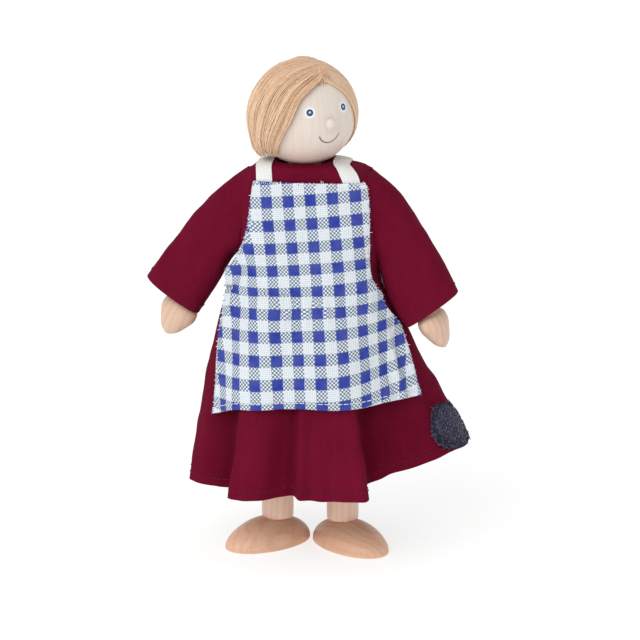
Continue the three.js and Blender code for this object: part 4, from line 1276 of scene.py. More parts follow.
@dataclass
class DressForm:
    """The dress as one surface: levels 0 to 5 are the bodice's rings, 5 to 6 is the skirt."""

    square: float = 2.6
    waist: float = 66.5
    flare: tuple[float, float] = (0.58, 1.05)
    heights: tuple[float, ...] = (98.0, 97.5, 94.4, 85.4, 72.9, 66.5)
    half_widths: tuple[float, ...] = (8.0, 11.0, 17.4, 18.4, 17.1, 18.4)
    half_depths: tuple[float, ...] = (6.6, 7.9, 8.8, 9.4, 9.8, 10.8)
    collar: tuple[float, float, float] = (98.4, 5.2, 5.2)
    folds: tuple[tuple[float, float, float], ...] = (
        (-180, 25, 18),
        (-158, 27.5, 17.5),
        (-136, 24.5, 17.5),
        (-113, 29.5, 17),
        (-90, 30.6, 16.7),
        (-72, 26.5, 16.9),
        (-58, 21.5, 17.4),
        (-36, 27.2, 17.8),
        (-16, 23.4, 18.7),
        (-5, 21.4, 19.4),
        (1, 24.6, 19.2),
        (14, 25.2, 19.2),
        (34, 29, 19.4),
        (48, 21.4, 20.6),
        (97, 39.6, 27.6),
        (125, 28.5, 22.5),
        (150, 28, 19),
    )

    def hem(self, bearing: Array) -> tuple[Array, Array]:
        """The hem's reach and height at bearings in radians."""
        table = np.array(self.folds, float)
        table = np.concatenate([table - [360, 0, 0], table, table + [360, 0, 0]])
        degrees = (np.degrees(bearing) + 180) % 360 - 180
        reach = smooth_through(table[:, 0], table[:, 1], degrees)
        return reach, smooth_through(table[:, 0], table[:, 2], degrees)

    def outline(self, level: Array) -> tuple[Array, Array, Array]:
        """The bodice's height, half width and half depth at a level; -1 lies inside the neckline."""
        rings = np.arange(-1, len(self.heights))
        at = np.clip(level, -1, 5)
        tables = zip(self.collar, (self.heights, self.half_widths, self.half_depths))
        return tuple(smooth_through(rings, (first, *table), at) for first, table in tables)

    def point(self, level: Array, bearing: Array) -> Array:
        """Places on the dress's outer face.

        Args:
            level: How far down the dress.
            bearing: Radians from the front.

        Returns:
            The places in millimetres.
        """
        level, bearing = np.broadcast_arrays(np.asarray(level, float), np.asarray(bearing, float))
        height, width, depth = self.outline(level)
        reach = outline_reach(width, depth, bearing, self.square)
        t = np.clip(level - 5, 0, None)
        far, low = self.hem(bearing)
        gather = 0.22 * np.sin(31 * bearing + 2 * np.sin(3 * bearing)) * ease(0, 0.08, t) * ease(0.55, 0.1, t)
        ripple = 0.38 * np.sin(19 * bearing + 1.3 + 1.5 * t) + 0.22 * np.sin(33 * bearing + 0.4)
        right, left = self.flare
        flare = right + (left - right) * (0.5 + 0.5 * np.sin(bearing))
        reach = reach + (far - reach) * np.minimum(t, 1.2) ** flare + gather + ripple * ease(0.15, 1.0, t)
        height = height + (low - self.waist) * t
        aside = NECK_OFFSET * ease(2.0, 0.4, level)
        return np.stack([reach * np.sin(bearing) + aside, -reach * np.cos(bearing), height], axis=-1)

    def normal(self, level: Array, bearing: Array) -> Array:
        """The dress's outward way."""
        step = 0.006
        level, bearing = np.broadcast_arrays(np.asarray(level, float), np.asarray(bearing, float))
        high, low = level - step, level + step
        down = self.point(low, bearing) - self.point(high, bearing)
        round_ = self.point(level, bearing + step) - self.point(level, bearing - step)
        return unit(np.cross(down, round_))

    def off(self, level: Array, bearing: Array, distance: Array) -> Array:
        """Places at a distance out from the dress."""
        lift = np.asarray(distance, float)
        return self.point(level, bearing) + self.normal(level, bearing) * np.expand_dims(lift, -1)

    def bearing_at(self, level: Array, reach: Array, side: Side) -> Array:
        """The bearing at which a level of the dress reaches a distance to one side."""
        low = np.zeros(np.broadcast(level, reach).shape)
        high = np.full_like(low, math.pi / 2)
        for _ in range(32):
            middle = (low + high) / 2
            short = np.abs(self.point(level, side.value * middle)[..., 0]) < reach
            low, high = np.where(short, middle, low), np.where(short, high, middle)
        return side.value * low

    def beside(self, level: Array, bearing: Array, move: Array) -> tuple[Array, Array]:
        """The level and bearing that lie a short move away from others on the dress."""
        step, strides = 0.01, 8
        part = move / strides
        for _ in range(strides):
            down = (self.point(level + step, bearing) - self.point(level - step, bearing)) / (2 * step)
            turn = (self.point(level, bearing + step) - self.point(level, bearing - step)) / (2 * step)
            dd, dr, rr = (np.sum(a * b, axis=-1) for a, b in ((down, down), (down, turn), (turn, turn)))
            md, mr = np.sum(part * down, axis=-1), np.sum(part * turn, axis=-1)
            scale = dd * rr - dr * dr
            level, bearing = level + (md * rr - mr * dr) / scale, bearing + (mr * dd - md * dr) / scale
        return level, bearing


def smoothed(line: Array, reach: int) -> Array:
    """A line of places evened out over its neighbours.

    Args:
        line: The places.
        reach: How many neighbours count on each side.

    Returns:
        The evened places.
    """
    padded = np.pad(line, ((reach, reach), (0, 0)), mode="reflect", reflect_type="odd")
    kernel = np.ones(2 * reach + 1) / (2 * reach + 1)
    return np.stack([np.convolve(padded[:, k], kernel, "valid") for k in range(line.shape[1])], axis=1)


def flat_cut(points: Array, across: Array) -> Array:
    """The flat cut of a cloth whose columns hang at places across it."""
    run = run_lengths(points.swapaxes(0, 1)).T
    return np.stack([np.broadcast_to(across, run.shape), -run], axis=-1)

def turn_hem(points: Array, out: Array, rises: Sequence[float]) -> tuple[Array, Array, Array]:
    """Turns a cloth's lower edge in behind it.

    Args:
        points: The cloth's rows of places.
        out: Its outward ways.
        rises: How far up the cloth each of the three turned rows lies.

    Returns:
        The rows with the turned ones added, ways that are nought on those, and the way up the cloth.
    """
    up = unit(points[-6] - points[-1])
    inset = np.array([0.34, 0.62, 0.62])[:, None, None]
    turned_in = points[-1] - out[-1] * inset + up * np.array(rises)[:, None, None]
    return np.concatenate([points, turned_in]), np.concatenate([out, 0 * turned_in]), up


def sway_at_hips(obj: Piece) -> None:
    """Bakes a cloth's place into its mesh."""
    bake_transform(obj)


@dataclass(frozen=True)
class SleeveCut:
    """How one sleeve hangs.

    Attributes:
        splay: Degrees out from straight down.
        length: From the shoulder's middle to the hem.
        sag: How much further than the cut its underside hangs.
    """

    splay: float
    length: float
    sag: float

SLEEVES = {Side.RIGHT: SleeveCut(36.2, 31.5, 0.6), Side.LEFT: SleeveCut(28.0, 31.25, 2.9)}

@dataclass
class Dress:
    """The burgundy dress: bodice, skirt and two wide sleeves, with their hems and stitches."""

    form: DressForm
    thickness: float = 0.38
    hem_depth: float = 2.3
    armhole_top: float = 14.6
    armhole_bottom: float = 17.0
    armhole_depth: float = 5.8
    bend: tuple[float, float] = (5.6, 3.9)
    narrow: float = 5.6
    cuff: tuple[float, float] = (7.9, 5.2)
    # How much painted shade darkens the skirt at each bearing in degrees, most in the folds' valleys.
    insides: tuple[tuple[float, float], ...] = (
        (-180, 0.1),
        (-136, 0.4),
        (-113, 0.05),
        (-78, 0.1),
        (-62, 0.6),
        (-50, 0.6),
        (-42, 0.1),
        (-32, 0.0),
        (-22, 0.25),
        (-6, 0.45),
        (-1, 0.05),
        (34, 0.0),
        (42, 0.2),
        (50, 0.45),
        (66, 0.3),
        (92, 0.05),
        (125, 0.4),
        (150, 0.05),
        (180, 0.1),
    )
    cuff_slope: float = 36.0
    turn_start: tuple[float, float] = (14.65, 90.0)
    turn_lean: float = 0.14
    turn_span: float = 1.65

    def armhole(self, height: Array) -> Array:
        """How far out the armhole's seam runs at a height."""
        top, bottom = self.form.heights[0], self.form.heights[4]
        return self.armhole_top + (top - height) * (self.armhole_bottom - self.armhole_top) / (top - bottom)

    def build_bodice(self) -> Piece:
        """Forms the bodice and cuts its armholes."""
        levels = np.concatenate([np.linspace(-0.5, 1, 14)[:-1], np.linspace(1, 5, 64)])
        bearings = np.linspace(-math.pi, math.pi, 201)
        level, bearing = np.meshgrid(levels, bearings, indexing="ij")
        points, out = self.form.point(level, bearing), self.form.normal(level, bearing)
        calm = ease(0.6, 2.0, level)
        fold = 0.3 * creases(points, 9.0, 3) + 0.16 * creases(points, 4.5, 4)
        points = points + out * (fold * calm)[..., None]
        points[..., 2] -= 0.6 * ease(12.6, 14.8, np.abs(points[..., 0])) * ease(2.4, 1.6, level)
        roll, fall = np.array([[0.55, 0.35], [1.6, 0.2]])[..., None, None]
        lip = points[0] - out[0] * roll + np.array([0, 0, -1]) * fall
        points = np.concatenate([lip, points])
        out = np.concatenate([out[:1], out[:1], out])
        flat = flat_cut(points, bearings * 17)
        bodice = cloth("bodice_cloth", points, flat, self.thickness, True, out, self.cut_armholes)
        dress_piece(bodice, DRESS_CLOTH.material(), "dress_cloth", "dress_bodice")
        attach(bodice, "torso")
        return bodice

    def cut_armholes(self, bodice: Piece) -> None:
        """Cuts away what lies outside each armhole's seam."""
        top, bottom = self.form.heights[0], self.form.heights[4]
        lean = (self.armhole_bottom - self.armhole_top) / (top - bottom)
        low = place(0, 0, bottom)[2]
        for sign in (side.value for side in Side):
            with editing(bodice, lambda face: (face.center.x - ORIGIN[0]) * sign > 0 and face.center.z > low):
                bpy.ops.mesh.bisect(
                    plane_co=place(sign * self.armhole_top, 0, top),
                    plane_no=Vector((sign, 0, lean)).normalized(),
                    clear_outer=True,
                )

    def build_skirt(self) -> Piece:
        """Hangs the skirt in its folds, with a turned hem."""
        bearings = np.linspace(-math.pi, math.pi, 421)
        share = np.linspace(0, 1, 54)
        level, bearing = np.meshgrid(5 + share, bearings, indexing="ij")
        points, out = self.form.point(level, bearing), self.form.normal(level, bearing)
        fold = 0.34 * creases(points, 13.0, 8) + 0.14 * creases(points, 5.0, 9)
        points = points + out * (fold * ease(5.03, 5.4, level))[..., None]
        full, face, up = turn_hem(points, out, (-0.12, 0.15, self.hem_depth))
        flat = flat_cut(full, bearings * 24)
        skirt = cloth("skirt_cloth", full, flat, self.thickness * 0.7, True, face)
        self.paint_fold_shade(skirt)
        dress_piece(skirt, DRESS_CLOTH.material(), "dress_cloth", "dress_skirt")
        sway_at_hips(skirt)
        seam = points[-1] + up * (self.hem_depth - 0.3)
        hem = stitches("skirt_hem_stitches", seam + out[-2] * 0.05, out[-2], 1.15, 0.5)
        dress_piece(hem, DRESS_THREAD.material(), "dress_cloth")
        sway_at_hips(hem)
        return skirt

    def paint_fold_shade(self, skirt: Piece) -> None:
        """Marks how much painted shade falls in the insides of the skirt's folds, as the attribute "inner".
        """
        x, y, z = ((at_vertices(skirt) - ORIGIN) / MM).T
        bearings, amounts = zip(*self.insides)
        # Painted shade by bearing, fading out towards the waist.
        inner = smooth_through(bearings, amounts, np.degrees(np.arctan2(x, -y)))
        mark(skirt, "inner", inner * ease(60.0, 46.0, z))

    def sleeve_rings(self, side: Side, share: Array, turn: Array) -> Array:
        """Places on a sleeve's outer face.

        Args:
            side: Which sleeve.
            share: 0 at the armhole, 1 at the hem.
            turn: Radians round the sleeve from its top, towards the front.

        Returns:
            Rows by columns of places in millimetres.
        """
        sign, cut, form = side.value, SLEEVES[side], self.form
        top = form.heights[0] - 1.9
        bottom = form.heights[4]
        middle, half = (top + bottom) / 2, (top - bottom) / 2
        height = middle + half * np.cos(turn)
        seam = self.armhole(height)
        level = np.interp(-height, [-h for h in form.heights], np.arange(6))
        _, wide, deep = form.outline(level)
        inside = np.clip(1 - (seam / wide) ** form.square, 0, None)
        depth = np.maximum(deep * inside ** (1 / form.square), 0.15)
        forward = np.sin(turn)
        forward = -np.sign(forward) * depth * np.minimum(1, np.abs(forward) * 9)
        loop = np.stack([sign * seam, forward, height], axis=-1)
        start = np.array([sign * self.armhole(middle), 0.0, middle])
        shoulder = np.array([sign * SHOULDER[0], 0.0, SHOULDER[1]])
        swing, slope = math.radians(cut.splay), math.radians(self.cuff_slope)
        end = shoulder + cut.length * np.array([sign * math.sin(swing), 0.0, -math.cos(swing)])
        bend = shoulder + np.array([sign * self.bend[0], 0.0, -self.bend[1]])
        t = share[:, None]
        centre = (1 - t) ** 2 * start + 2 * t * (1 - t) * bend + t * t * end
        up = unit(np.array([sign * (self.armhole_top - self.armhole_bottom), 0.0, top - bottom]))
        cuff_up = np.array([sign * math.cos(slope), 0.0, math.sin(slope)])
        across = unit(up + (cuff_up - up) * t)
        wide_t = (1 - t) ** 2 * half + 2 * t * (1 - t) * self.narrow + t * t * self.cuff[0]
        deep_t = self.armhole_depth + (self.cuff[1] - self.armhole_depth) * t
        under = wide_t + cut.sag * 6.75 * t * t * (1 - t)
        wide_t = np.where(np.cos(turn)[None, :] < 0, under, wide_t)
        reach = outline_reach(deep_t, wide_t, turn[None, :], form.square)
        tube = centre[:, None] + across[:, None] * (reach * np.cos(turn))[..., None]
        tube = tube - np.array([0, 1.0, 0]) * (reach * np.sin(turn))[..., None]
        blend = ease(0.0, 0.3, share)[:, None, None]
        return loop[None] * (1 - blend) + tube * blend

    def build_sleeve(self, side: Side) -> Piece:
        """Hangs one sleeve from its armhole."""
        share = np.linspace(0, 1, 58)
        turn = np.linspace(-math.pi, math.pi, 145)
        points = self.sleeve_rings(side, share, turn)
        along = np.gradient(points, axis=0)
        round_ = np.gradient(points, axis=1)
        round_[:, 0] = round_[:, -1] = points[:, 1] - points[:, -2]
        out = unit(np.cross(round_, along)) * side.value
        calm = (ease(0.0, 0.1, share) * (1 - 0.7 * ease(0.85, 1.0, share)))[:, None]
        fold = 0.34 * creases(points, 11.0, 20 + side.value) + 0.06 * creases(points, 4.5, 30 + side.value)
        points = points + out * (fold * calm)[..., None]
        sewn = 0.28 * (1 - ease(0.0, 0.035, share))[:, None, None]
        points = points - out * sewn
        full, face, up = turn_hem(points, out, (-0.1, 0.15, self.hem_depth))
        flat = flat_cut(full, turn * 6.4)
        node = f"{side.label}_sleeve"
        sleeve = cloth(f"{node}_cloth", full, flat, self.thickness * 0.7, True, face)
        dress_piece(sleeve, DRESS_CLOTH.material(), "dress_cloth", node)
        seam = points[-1] + up * (self.hem_depth - 0.3)
        hem = stitches(f"{node}_stitches", seam + out[-1] * 0.05, out[-1], 1.1, 0.5)
        dress_piece(hem, DRESS_THREAD.material(), "dress_cloth")
        for piece in (sleeve, hem):
            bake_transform(piece)
        return sleeve

    def build(self) -> None:
        """Builds the dress."""
        self.build_bodice()
        self.build_skirt()
        for side in SLEEVES:
            self.build_sleeve(side)


@dataclass
class Apron:
    """The gingham apron with its frayed edges, neck strap, waist tape and bow."""

    form: DressForm
    thickness: float = 0.4
    lift: float = 0.85
    rows: tuple[tuple[float, float, float, float], ...] = (
        (2.06, 12.3, 13.8, 0.0),
        (2.3, 12.7, 14.4, 0.0),
        (3.0, 13.6, 15.0, 0.0),
        (3.4, 14.2, 15.0, 0.3),
        (3.65, 14.8, 14.9, 1.2),
        (4.0, 15.4, 15.0, 3.3),
        (4.25, 15.8, 15.3, 4.1),
        (4.6, 16.4, 16.1, 3.5),
        (5.0, 17.6, 17.6, 2.2),
        (5.25, 20.0, 22.0, 0.7),
        (5.64, 22.0, 27.0, 0.0),
    )
    edge: tuple[tuple[float, float], ...] = (
        (0.0, 5.62),
        (0.22, 5.553),
        (0.5, 5.545),
        (0.75, 5.56),
        (1.0, 5.612),
    )
    askew: float = 0.056
    hem_depth: float = 1.75
    tape_width: float = 4.0
    tape_level: float = 4.68
    columns: int = 110

    def taut(self, level: float, bearings: Array) -> Array:
        """One row of the apron, drawn over the dress's ridges and slack over its valleys.

        Args:
            level: The row's level on the dress.
            bearings: Bearings of its places.

        Returns:
            The places.
        """
        points = self.form.off(np.full_like(bearings, level), bearings, self.lift)
        if level <= 5:
            return points
        hull = [0]
        for i in range(1, len(points)):
            while len(hull) > 1:
                a, b = points[hull[-2], :2], points[hull[-1], :2]
                c = points[i, :2]
                if (b[0] - a[0]) * (c[1] - a[1]) - (b[1] - a[1]) * (c[0] - a[0]) > 0:
                    break
                hull.pop()
            hull.append(i)
        held = read_along(np.arange(len(points)), hull, points[hull])
        calm = smoothed(held, 24)
        outward = unit(calm * [1, 1, 0])
        calm = calm + outward * max(0.0, float(np.max(np.sum((held - calm) * outward, axis=1))))
        return points + (calm - points) * float(ease(5.0, 5.2, level))

    def sheet_points(self) -> tuple[Array, Array]:
        """The apron's places and its flat cut, row by row."""
        table = np.array(self.rows)
        levels = np.concatenate([np.linspace(table[0, 0], 5, 62), np.linspace(5, table[-1, 0], 66)[1:]])
        reaches = [smooth_through(table[:, 0], table[:, k], levels) for k in (1, 2, 3)]
        points, flat = [], []
        for level, right, left, wing in zip(levels, *reaches):
            ends = [
                float(self.form.bearing_at(np.array(level), np.array(reach), side))
                for reach, side in ((right, Side.RIGHT), (left, Side.LEFT))
            ]
            bearings = np.linspace(ends[0], ends[1], 260)
            line = self.taut(float(level), bearings)
            front = int(np.argmin(np.abs(bearings)))
            if wing > 0.02:
                way = unit(unit(line[0] - line[3]) * 0.5 + np.array([-0.95, -0.05, -0.12]))
                spread = np.linspace(1, 0, 14)[:-1, None] * wing
                line = np.concatenate([line[0] + way * spread, line])
                front += len(spread)
            run = run_lengths(line)
            at = np.linspace(0, run[-1], self.columns)
            points.append(read_along(at, run, line))
            even = run_lengths(smoothed(line, 30))
            flat.append(np.interp(at, run, even - even[front]))
        grid = np.array(points)
        down = run_lengths(grid[:, self.columns // 2])
        askew = self.askew * np.array(flat) * ease(4.5, 5.3, levels)[:, None]
        cut = np.stack([np.array(flat), askew - down[:, None]], axis=-1)
        share = np.linspace(0, 1, self.columns)
        stops = smooth_through([x for x, _ in self.edge], [y for _, y in self.edge], share)
        both = np.concatenate([grid, cut], axis=-1)
        for j, stop in enumerate(stops):
            wanted = levels[0] + (stop - levels[0]) * np.linspace(0, 1, len(levels))
            both[:, j] = read_along(wanted, levels, both[:, j])
        return both[..., :3], both[..., 3:]

    def build_sheet(self) -> Piece:
        """Lays the apron, turns up its hem, and frays its sides."""
        points, flat = self.sheet_points()
        down, across = np.gradient(points, axis=0), np.gradient(points, axis=1)
        out = unit(np.cross(down, across))
        wave = 0.16 * creases(points, 7.0, 41) + 0.08 * creases(points, 3.0, 42)
        below = ease(60.0, 50.0, points[..., 2])
        aside = flat[:, -1:, 0] - flat[..., 0]
        wave = wave + 0.6 * np.sin(aside * 1.35 + 0.6) * ease(11.0, 5.0, aside) * below
        points = points + out * (wave + 0.1)[..., None]
        edges = points.copy()
        rng = np.random.default_rng(5)
        ragged = np.convolve(rng.normal(0, 0.5, len(points) + 8), np.ones(3) / 3, "same")[4:-4]
        for side, next_in in ((0, 1), (-1, -2)):
            points[:, side] += unit(points[:, side] - points[:, next_in]) * (0.15 * ragged[:, None])
        full, face, _ = turn_hem(points, out, (-0.1, 0.12, 2.4))
        folded = np.stack([flat[-1] - [0, step] for step in (0.3, 0.6, 2.8)])
        apron = cloth("apron_cloth", full, np.concatenate([flat, folded]), self.thickness * 0.7, False, face)
        dress_piece(apron, Gingham().material(), "gingham", "apron")
        above_hem = flat[:, self.columns // 2, 1] - flat[-1, self.columns // 2, 1]
        row = int(np.argmin(np.abs(above_hem - self.hem_depth)))
        seam = points[row] + out[row] * 0.16
        hem = stitches("apron_hem_stitches", seam, out[row], 1.1, 0.45)
        dress_piece(hem, WHITE_THREAD.material(), "gingham")
        fray = self.build_fray(edges, out)
        for piece in (apron, hem, fray):
            sway_at_hips(piece)
        return apron

    def build_fray(self, points: Array, out: Array) -> Piece:
        """Draws the loose yarn ends along the apron's two sides and top."""
        rng = np.random.default_rng(7)
        s = np.linspace(0, 1, 5)
        paths, tones = [], []
        sides = [(points[:, 0], points[:, 2], out[:, 0]), (points[:, -1], points[:, -3], out[:, -1])]
        sides.append((points[0], points[2], out[0]))
        for edge, within, face in sides:
            run = run_lengths(edge)
            for at in np.arange(0.2, run[-1], 0.5):
                i = int(np.searchsorted(run, at))
                outward = unit(edge[i] - within[i])
                start = edge[i] - outward * 0.5
                length = 0.55 + rng.gamma(1.2, 0.13)
                sag = np.array([0, 0, -1]) * rng.uniform(0, 0.2) + rng.normal(0, 0.08, 3)
                path = start + outward * (s * length)[:, None] + sag * (s * s)[:, None]
                paths.append(path + face[i] * (0.02 - 0.15 * s)[:, None])
                tones.append(rng.choice([0.05, 0.75, 0.95], p=[0.25, 0.35, 0.4]))
        fray = threads("apron_fray", np.array(paths), 0.12, 1 - 0.5 * s, np.array(tones))
        return dress_piece(fray, FRAY_YARN.material(), "gingham")

    def tape(self, name: str, level: Array, bearing: Array, lift: Array) -> Piece:
        """Lays a tape along a line on the dress.

        Args:
            name: The piece's name.
            level: The line's levels.
            bearing: The line's bearings.
            lift: How far its underside is off the dress.

        Returns:
            The tape.
        """
        line = self.form.point(level, bearing)
        along = unit(np.gradient(line, axis=0))
        across = unit(np.cross(self.form.normal(level, bearing), along))
        lanes = np.linspace(-0.5, 0.5, 9) * self.tape_width
        rows = []
        for lane in lanes:
            moved = self.form.beside(level, bearing, across * lane)
            rows.append(self.form.off(*moved, lift + 0.34 + 0.05 * math.cos(lane * 1.4)))
        points = np.array(rows)
        out = np.broadcast_to(self.form.normal(level, bearing), points.shape)
        run = np.broadcast_to(run_lengths(line), points.shape[:2])
        flat = np.stack([run, np.broadcast_to(lanes[:, None], points.shape[:2])], axis=-1)
        LOG.info("%s: %.1f mm long", name, run[0, -1])
        return cloth(name, points, flat, 0.34, False, out)

    def build_strap(self) -> Piece:
        """Lays the strap from behind the bib over a shoulder, round the neck and back again."""
        shoulder, back, sewn = 0.45, 2.0, 2.45
        t = np.linspace(0, 1, 24)[:-1]
        level = sewn + (shoulder - sewn) * t
        fronts = {}
        for side, corner in ((Side.RIGHT, 9.9), (Side.LEFT, 11.3)):
            over = abs(float(self.form.point(np.array(shoulder), np.array(side.value * math.pi / 2))[0]))
            reach = corner + (over - corner) * ease(0.0, 1.0, t) ** 1.1
            fronts[side] = self.form.bearing_at(level, reach, side)
        round_ = np.linspace(0, math.pi, 60)
        behind = shoulder + (back - shoulder) * np.sin(round_) ** 2
        levels = np.concatenate([level, behind, level[::-1]])
        bearings = [fronts[Side.RIGHT], -math.pi / 2 - round_, fronts[Side.LEFT][::-1] - 2 * math.pi]
        bearings = np.concatenate(bearings)
        strap = self.tape("neck_strap_tape", levels, bearings, np.full(levels.shape, 0.16))
        dress_piece(strap, TAPE_CLOTH.material(), "white_tape", "apron_neck_strap")
        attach(strap, "torso")
        return strap

    def build_waist_tape(self) -> Piece:
        """Lays the tape from the apron's sides round the back."""
        start = float(self.form.bearing_at(np.array(self.tape_level), np.array(14.6), Side.RIGHT))
        end = float(self.form.bearing_at(np.array(self.tape_level), np.array(15.2), Side.LEFT))
        bearings = np.linspace(start, end - 2 * math.pi, 150)
        sag = 0.1 * np.sin(np.linspace(0, 9, 150))
        # On the doll's left it goes in under the dress before it meets the apron
        lift = 0.2 - 1.6 * ease(-4.6, -4.85, bearings)
        tape = self.tape("waist_tie_tape", self.tape_level + 0.3 * sag, bearings, lift)
        dress_piece(tape, TAPE_CLOTH.material(), "white_tape", "apron_waist_tape")
        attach(tape, "torso")
        return tape

    def build_bow(self) -> Piece:
        """Ties the bow at the back: two loops, a knot and two tails."""
        lift = 1.0
        seat = self.form.off(np.array(self.tape_level), np.array(math.pi), lift)
        pieces = []
        s = np.linspace(0, 1, 49)
        lanes = np.linspace(-0.5, 0.5, 9)
        for side in Side:
            swell = np.sin(math.pi * s)
            x = 9.0 * (0.5 - 0.5 * np.cos(2 * math.pi * s)) ** 0.8
            y = 1.7 + 1.75 * np.sin(2 * math.pi * s) * swell**0.5
            wide = self.tape_width * (0.5 + 0.5 * swell**0.7)
            droop = math.radians(12)
            pucker = 0.25 * np.cos(lanes[:, None] * 9) * (1 - swell) ** 2
            z = lanes[:, None] * wide
            aside = np.broadcast_to(side.value * x * math.cos(droop), z.shape)
            grid = np.stack([aside, y + pucker, z - x * math.sin(droop)], axis=-1)
            run = np.broadcast_to(run_lengths(np.stack([x, y], axis=-1)), z.shape)
            flat = np.stack([run, np.broadcast_to(lanes[:, None] * self.tape_width, z.shape)], axis=-1)
            pieces.append(cloth("bow_loop", grid + seat, flat, 0.34))
        for side in Side:
            t = np.linspace(0, 1, 40)
            level = self.tape_level + (5.42 - self.tape_level) * t
            bearing = math.pi + side.value * np.radians(2 + 15 * t + 2.0 * np.sin(5 * t))
            pieces.append(self.tape("bow_tail", level, bearing, np.full(40, lift)))
        bow = ball("bow_tape", 40, 24, 1)

        def wrap(points: Array) -> Array:
            """Takes the unit ball to the knot, ridged by the tape that is wrapped round it."""
            x, y, z = points.T
            ridge = 1 + 0.07 * np.cos(9 * x + 2 * z)
            shape = np.stack([x * 1.8 * ridge, y * 1.5 * ridge, np.sign(z) * np.abs(z) ** 0.8 * 2.25], axis=1)
            return world(shape + seat + np.array([0, 1.7, 0]))

        reshape(bow, wrap)
        corners = np.empty(len(bow.data.loops) * 2)
        layer = bow.data.uv_layers[0]
        layer.data.foreach_get("uv", corners)
        layer.data.foreach_set("uv", (corners.reshape(-1, 2) * [11, 6]).ravel())
        layer.name = pieces[0].data.uv_layers[0].name
        shade(bow)
        activate(bow)
        for piece in pieces:
            piece.select_set(True)
        bpy.ops.object.join()
        dress_piece(bow, TAPE_CLOTH.material(), "white_tape", "apron_bow")
        sway_at_hips(bow)
        return bow

    def build(self) -> None:
        """Builds the apron."""
        self.build_strap()
        self.build_waist_tape()
        self.build_bow()
        self.build_sheet()


@dataclass
class HemPatch:
    """A round of navy knitting on the skirt's side."""

    form: DressForm
    level: float = 5.86
    bearing: float = 87.0
    diameter: float = 10.5
    cells: int = 48
    hairs: int = 320

    def build(self) -> Piece:
        """Lays the patch on the skirt."""
        u, v = np.meshgrid(np.linspace(-1, 1, self.cells), np.linspace(-1, 1, self.cells))
        across = u * np.sqrt(1 - v * v / 2) * self.diameter / 2
        down = v * np.sqrt(1 - u * u / 2) * self.diameter / 2
        turn = math.radians(self.bearing)
        centre = self.form.point(np.array(self.level), np.array(turn))
        drop = self.form.waist - float(self.form.hem(np.array(turn))[1])
        level = self.level + down / drop
        bearing = turn + across / float(np.hypot(centre[0], centre[1]))
        edge = np.sqrt(across**2 + down**2) / (self.diameter / 2)
        lift = 0.95 - 0.35 * ease(0.7, 1.0, edge) + 0.1 * np.sin(3 * across)
        points = self.form.off(level, bearing, lift)
        out = self.form.normal(level, bearing)
        flat = np.stack([across, -down], axis=-1)
        patch = cloth("patch_knitting", points, flat, 0.5, False, out)
        dress_piece(patch, Knit().material(), "navy_knit", "hem_patch")
        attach(patch, "hips")
        fuzz = self.build_fuzz(points, out, edge)
        return patch

    def build_fuzz(self, points: Array, out: Array, edge: Array) -> Piece:
        """Draws the loose hairs of the knitting, most of them along its edge."""
        rng = np.random.default_rng(23)
        s = np.linspace(0, 1, 6)
        chance = (0.15 + ease(0.6, 1.0, edge)).ravel()
        picked = rng.choice(edge.size, self.hairs, p=chance / chance.sum())
        starts, ways = points.reshape(-1, 3)[picked], out.reshape(-1, 3)[picked]
        paths = []
        for start, up in zip(starts, ways):
            lie = rng.normal(size=3)
            lie = unit(lie - up * np.dot(lie, up)) * rng.uniform(0.5, 1.3)
            curl = unit(np.cross(up, lie)) * rng.normal(0, 0.35)
            rise = 0.04 + 0.3 * np.sin(math.pi * s)
            paths.append(start + lie * s[:, None] + curl * (s * s)[:, None] + up * rise[:, None])
        fuzz = threads("patch_fuzz", np.array(paths), 0.09, 1 - 0.4 * s, rng.uniform(0, 0.9, self.hairs))
        dress_piece(fuzz, PATCH_YARN.material(), "navy_knit")
        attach(fuzz, "hips")
        return fuzz


# Studio


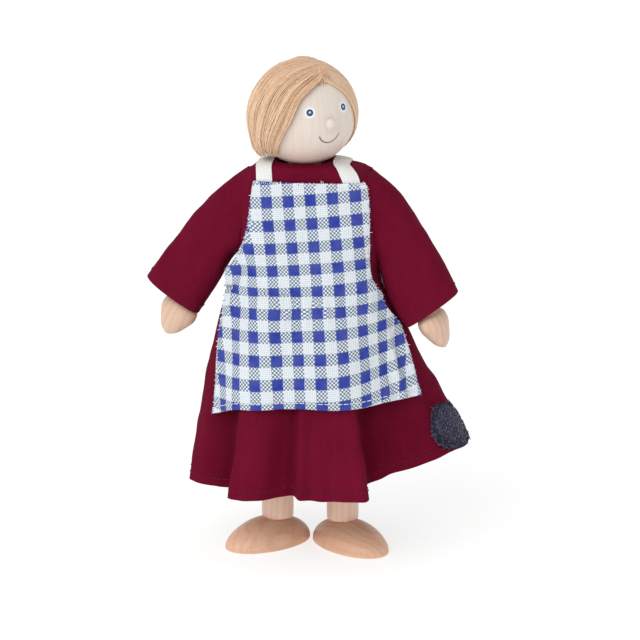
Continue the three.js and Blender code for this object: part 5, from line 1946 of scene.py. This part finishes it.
@dataclass
class Studio:
    """The camera at the photograph's angle, a pale floor and soft light."""

    azimuth: float = 7.0
    elevation: float = 14.5
    distance: float = 700.0
    scale: float = 0.2464
    centre: tuple[float, float] = (2.464, 56.04)
    pixels: int = 640
    sensor: float = 36.0
    ambient: float = 0.64
    sun: float = 1.3
    sun_way: tuple[float, float, float] = (-0.5, -0.95, 0.85)
    sun_angle: float = 50.0
    floor_glow: float = 0.73

    def build_camera(self) -> None:
        """Sets the camera up."""
        az, el = math.radians(self.azimuth), math.radians(self.elevation)
        right = Vector((math.cos(az), math.sin(az), 0))
        back = Vector((math.sin(az) * math.cos(el), -math.cos(az) * math.cos(el), math.sin(el)))
        up = back.cross(right)
        target = Vector(place(0, 0, self.centre[1] / math.cos(el))) + right * self.centre[0] * MM
        turn = Matrix((right, up, back)).transposed()
        deselect()
        bpy.ops.object.camera_add(location=target + back * self.distance * MM, rotation=turn.to_euler())
        camera = bpy.context.object
        camera.data.sensor_width = self.sensor
        camera.data.lens = self.sensor * self.distance / (self.scale * self.pixels)
        camera.data.clip_start = 0.01
        bpy.context.scene.camera = camera

    def build_floor(self) -> None:
        """Lays the floor, white to the camera where no shadow falls."""
        deselect()
        bpy.ops.mesh.primitive_grid_add(x_subdivisions=4, y_subdivisions=4, size=6)
        floor = bpy.context.object
        floor.name = "floor"
        material, g, shader = new_material("Pale floor", Roughness=0.9, Specular_IOR_Level=0.1)
        at = g.node("TexCoord").outputs["Object"]
        tone = g.noise(at, (9.0, 9.0, 9.0), 2.0)
        g.feed(shader.inputs["Base Color"], g.mix(tone, (0.35, 0.355, 0.35), (0.37, 0.375, 0.37)))
        g.feed(shader.inputs["Emission Color"], (1.0, 1.0, 1.0))
        g.feed(shader.inputs["Emission Strength"], self.floor_glow)
        floor.data.materials.append(material)

    def build_light(self) -> None:
        """Lights the set: an even room and one broad lamp from the upper left."""
        world_ = bpy.context.scene.world or bpy.data.worlds.new("Studio")
        bpy.context.scene.world = world_
        world_.use_nodes = True
        g = Graph(world_.node_tree)
        shader = world_.node_tree.nodes["Background"]
        rays = g.node("LightPath").outputs
        seen = g.math("MAXIMUM", rays["Is Camera Ray"], rays["Is Glossy Ray"])
        seen = g.math("MAXIMUM", seen, rays["Is Transmission Ray"])
        g.feed(shader.inputs["Color"], (1.0, 1.0, 1.0))
        g.feed(shader.inputs["Strength"], g.math("MULTIPLY_ADD", seen, 1 - self.ambient, self.ambient))
        way = Vector(self.sun_way)
        deselect()
        bpy.ops.object.light_add(type="SUN", rotation=way.to_track_quat("Z", "Y").to_euler())
        lamp = bpy.context.object.data
        lamp.energy = self.sun
        lamp.angle = math.radians(self.sun_angle)
        bpy.context.scene.view_settings.view_transform = "Standard"

    def build(self) -> None:
        """Sets up the studio."""
        self.build_camera()
        self.build_floor()
        self.build_light()


def main() -> None:
    """Builds the doll, piece by piece, in its studio."""
    logging.basicConfig(level=logging.INFO, format="%(name)s %(message)s")
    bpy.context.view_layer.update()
    Studio().build()
    finish_core()
    Head().build()
    Limb(Side.LEFT, 62.0).build()
    Limb(Side.RIGHT, 12.0).build()
    form = DressForm()
    Dress(form).build()
    Apron(form).build()
    HemPatch(form).build()
    deselect()


if __name__ == "__main__":
    main()
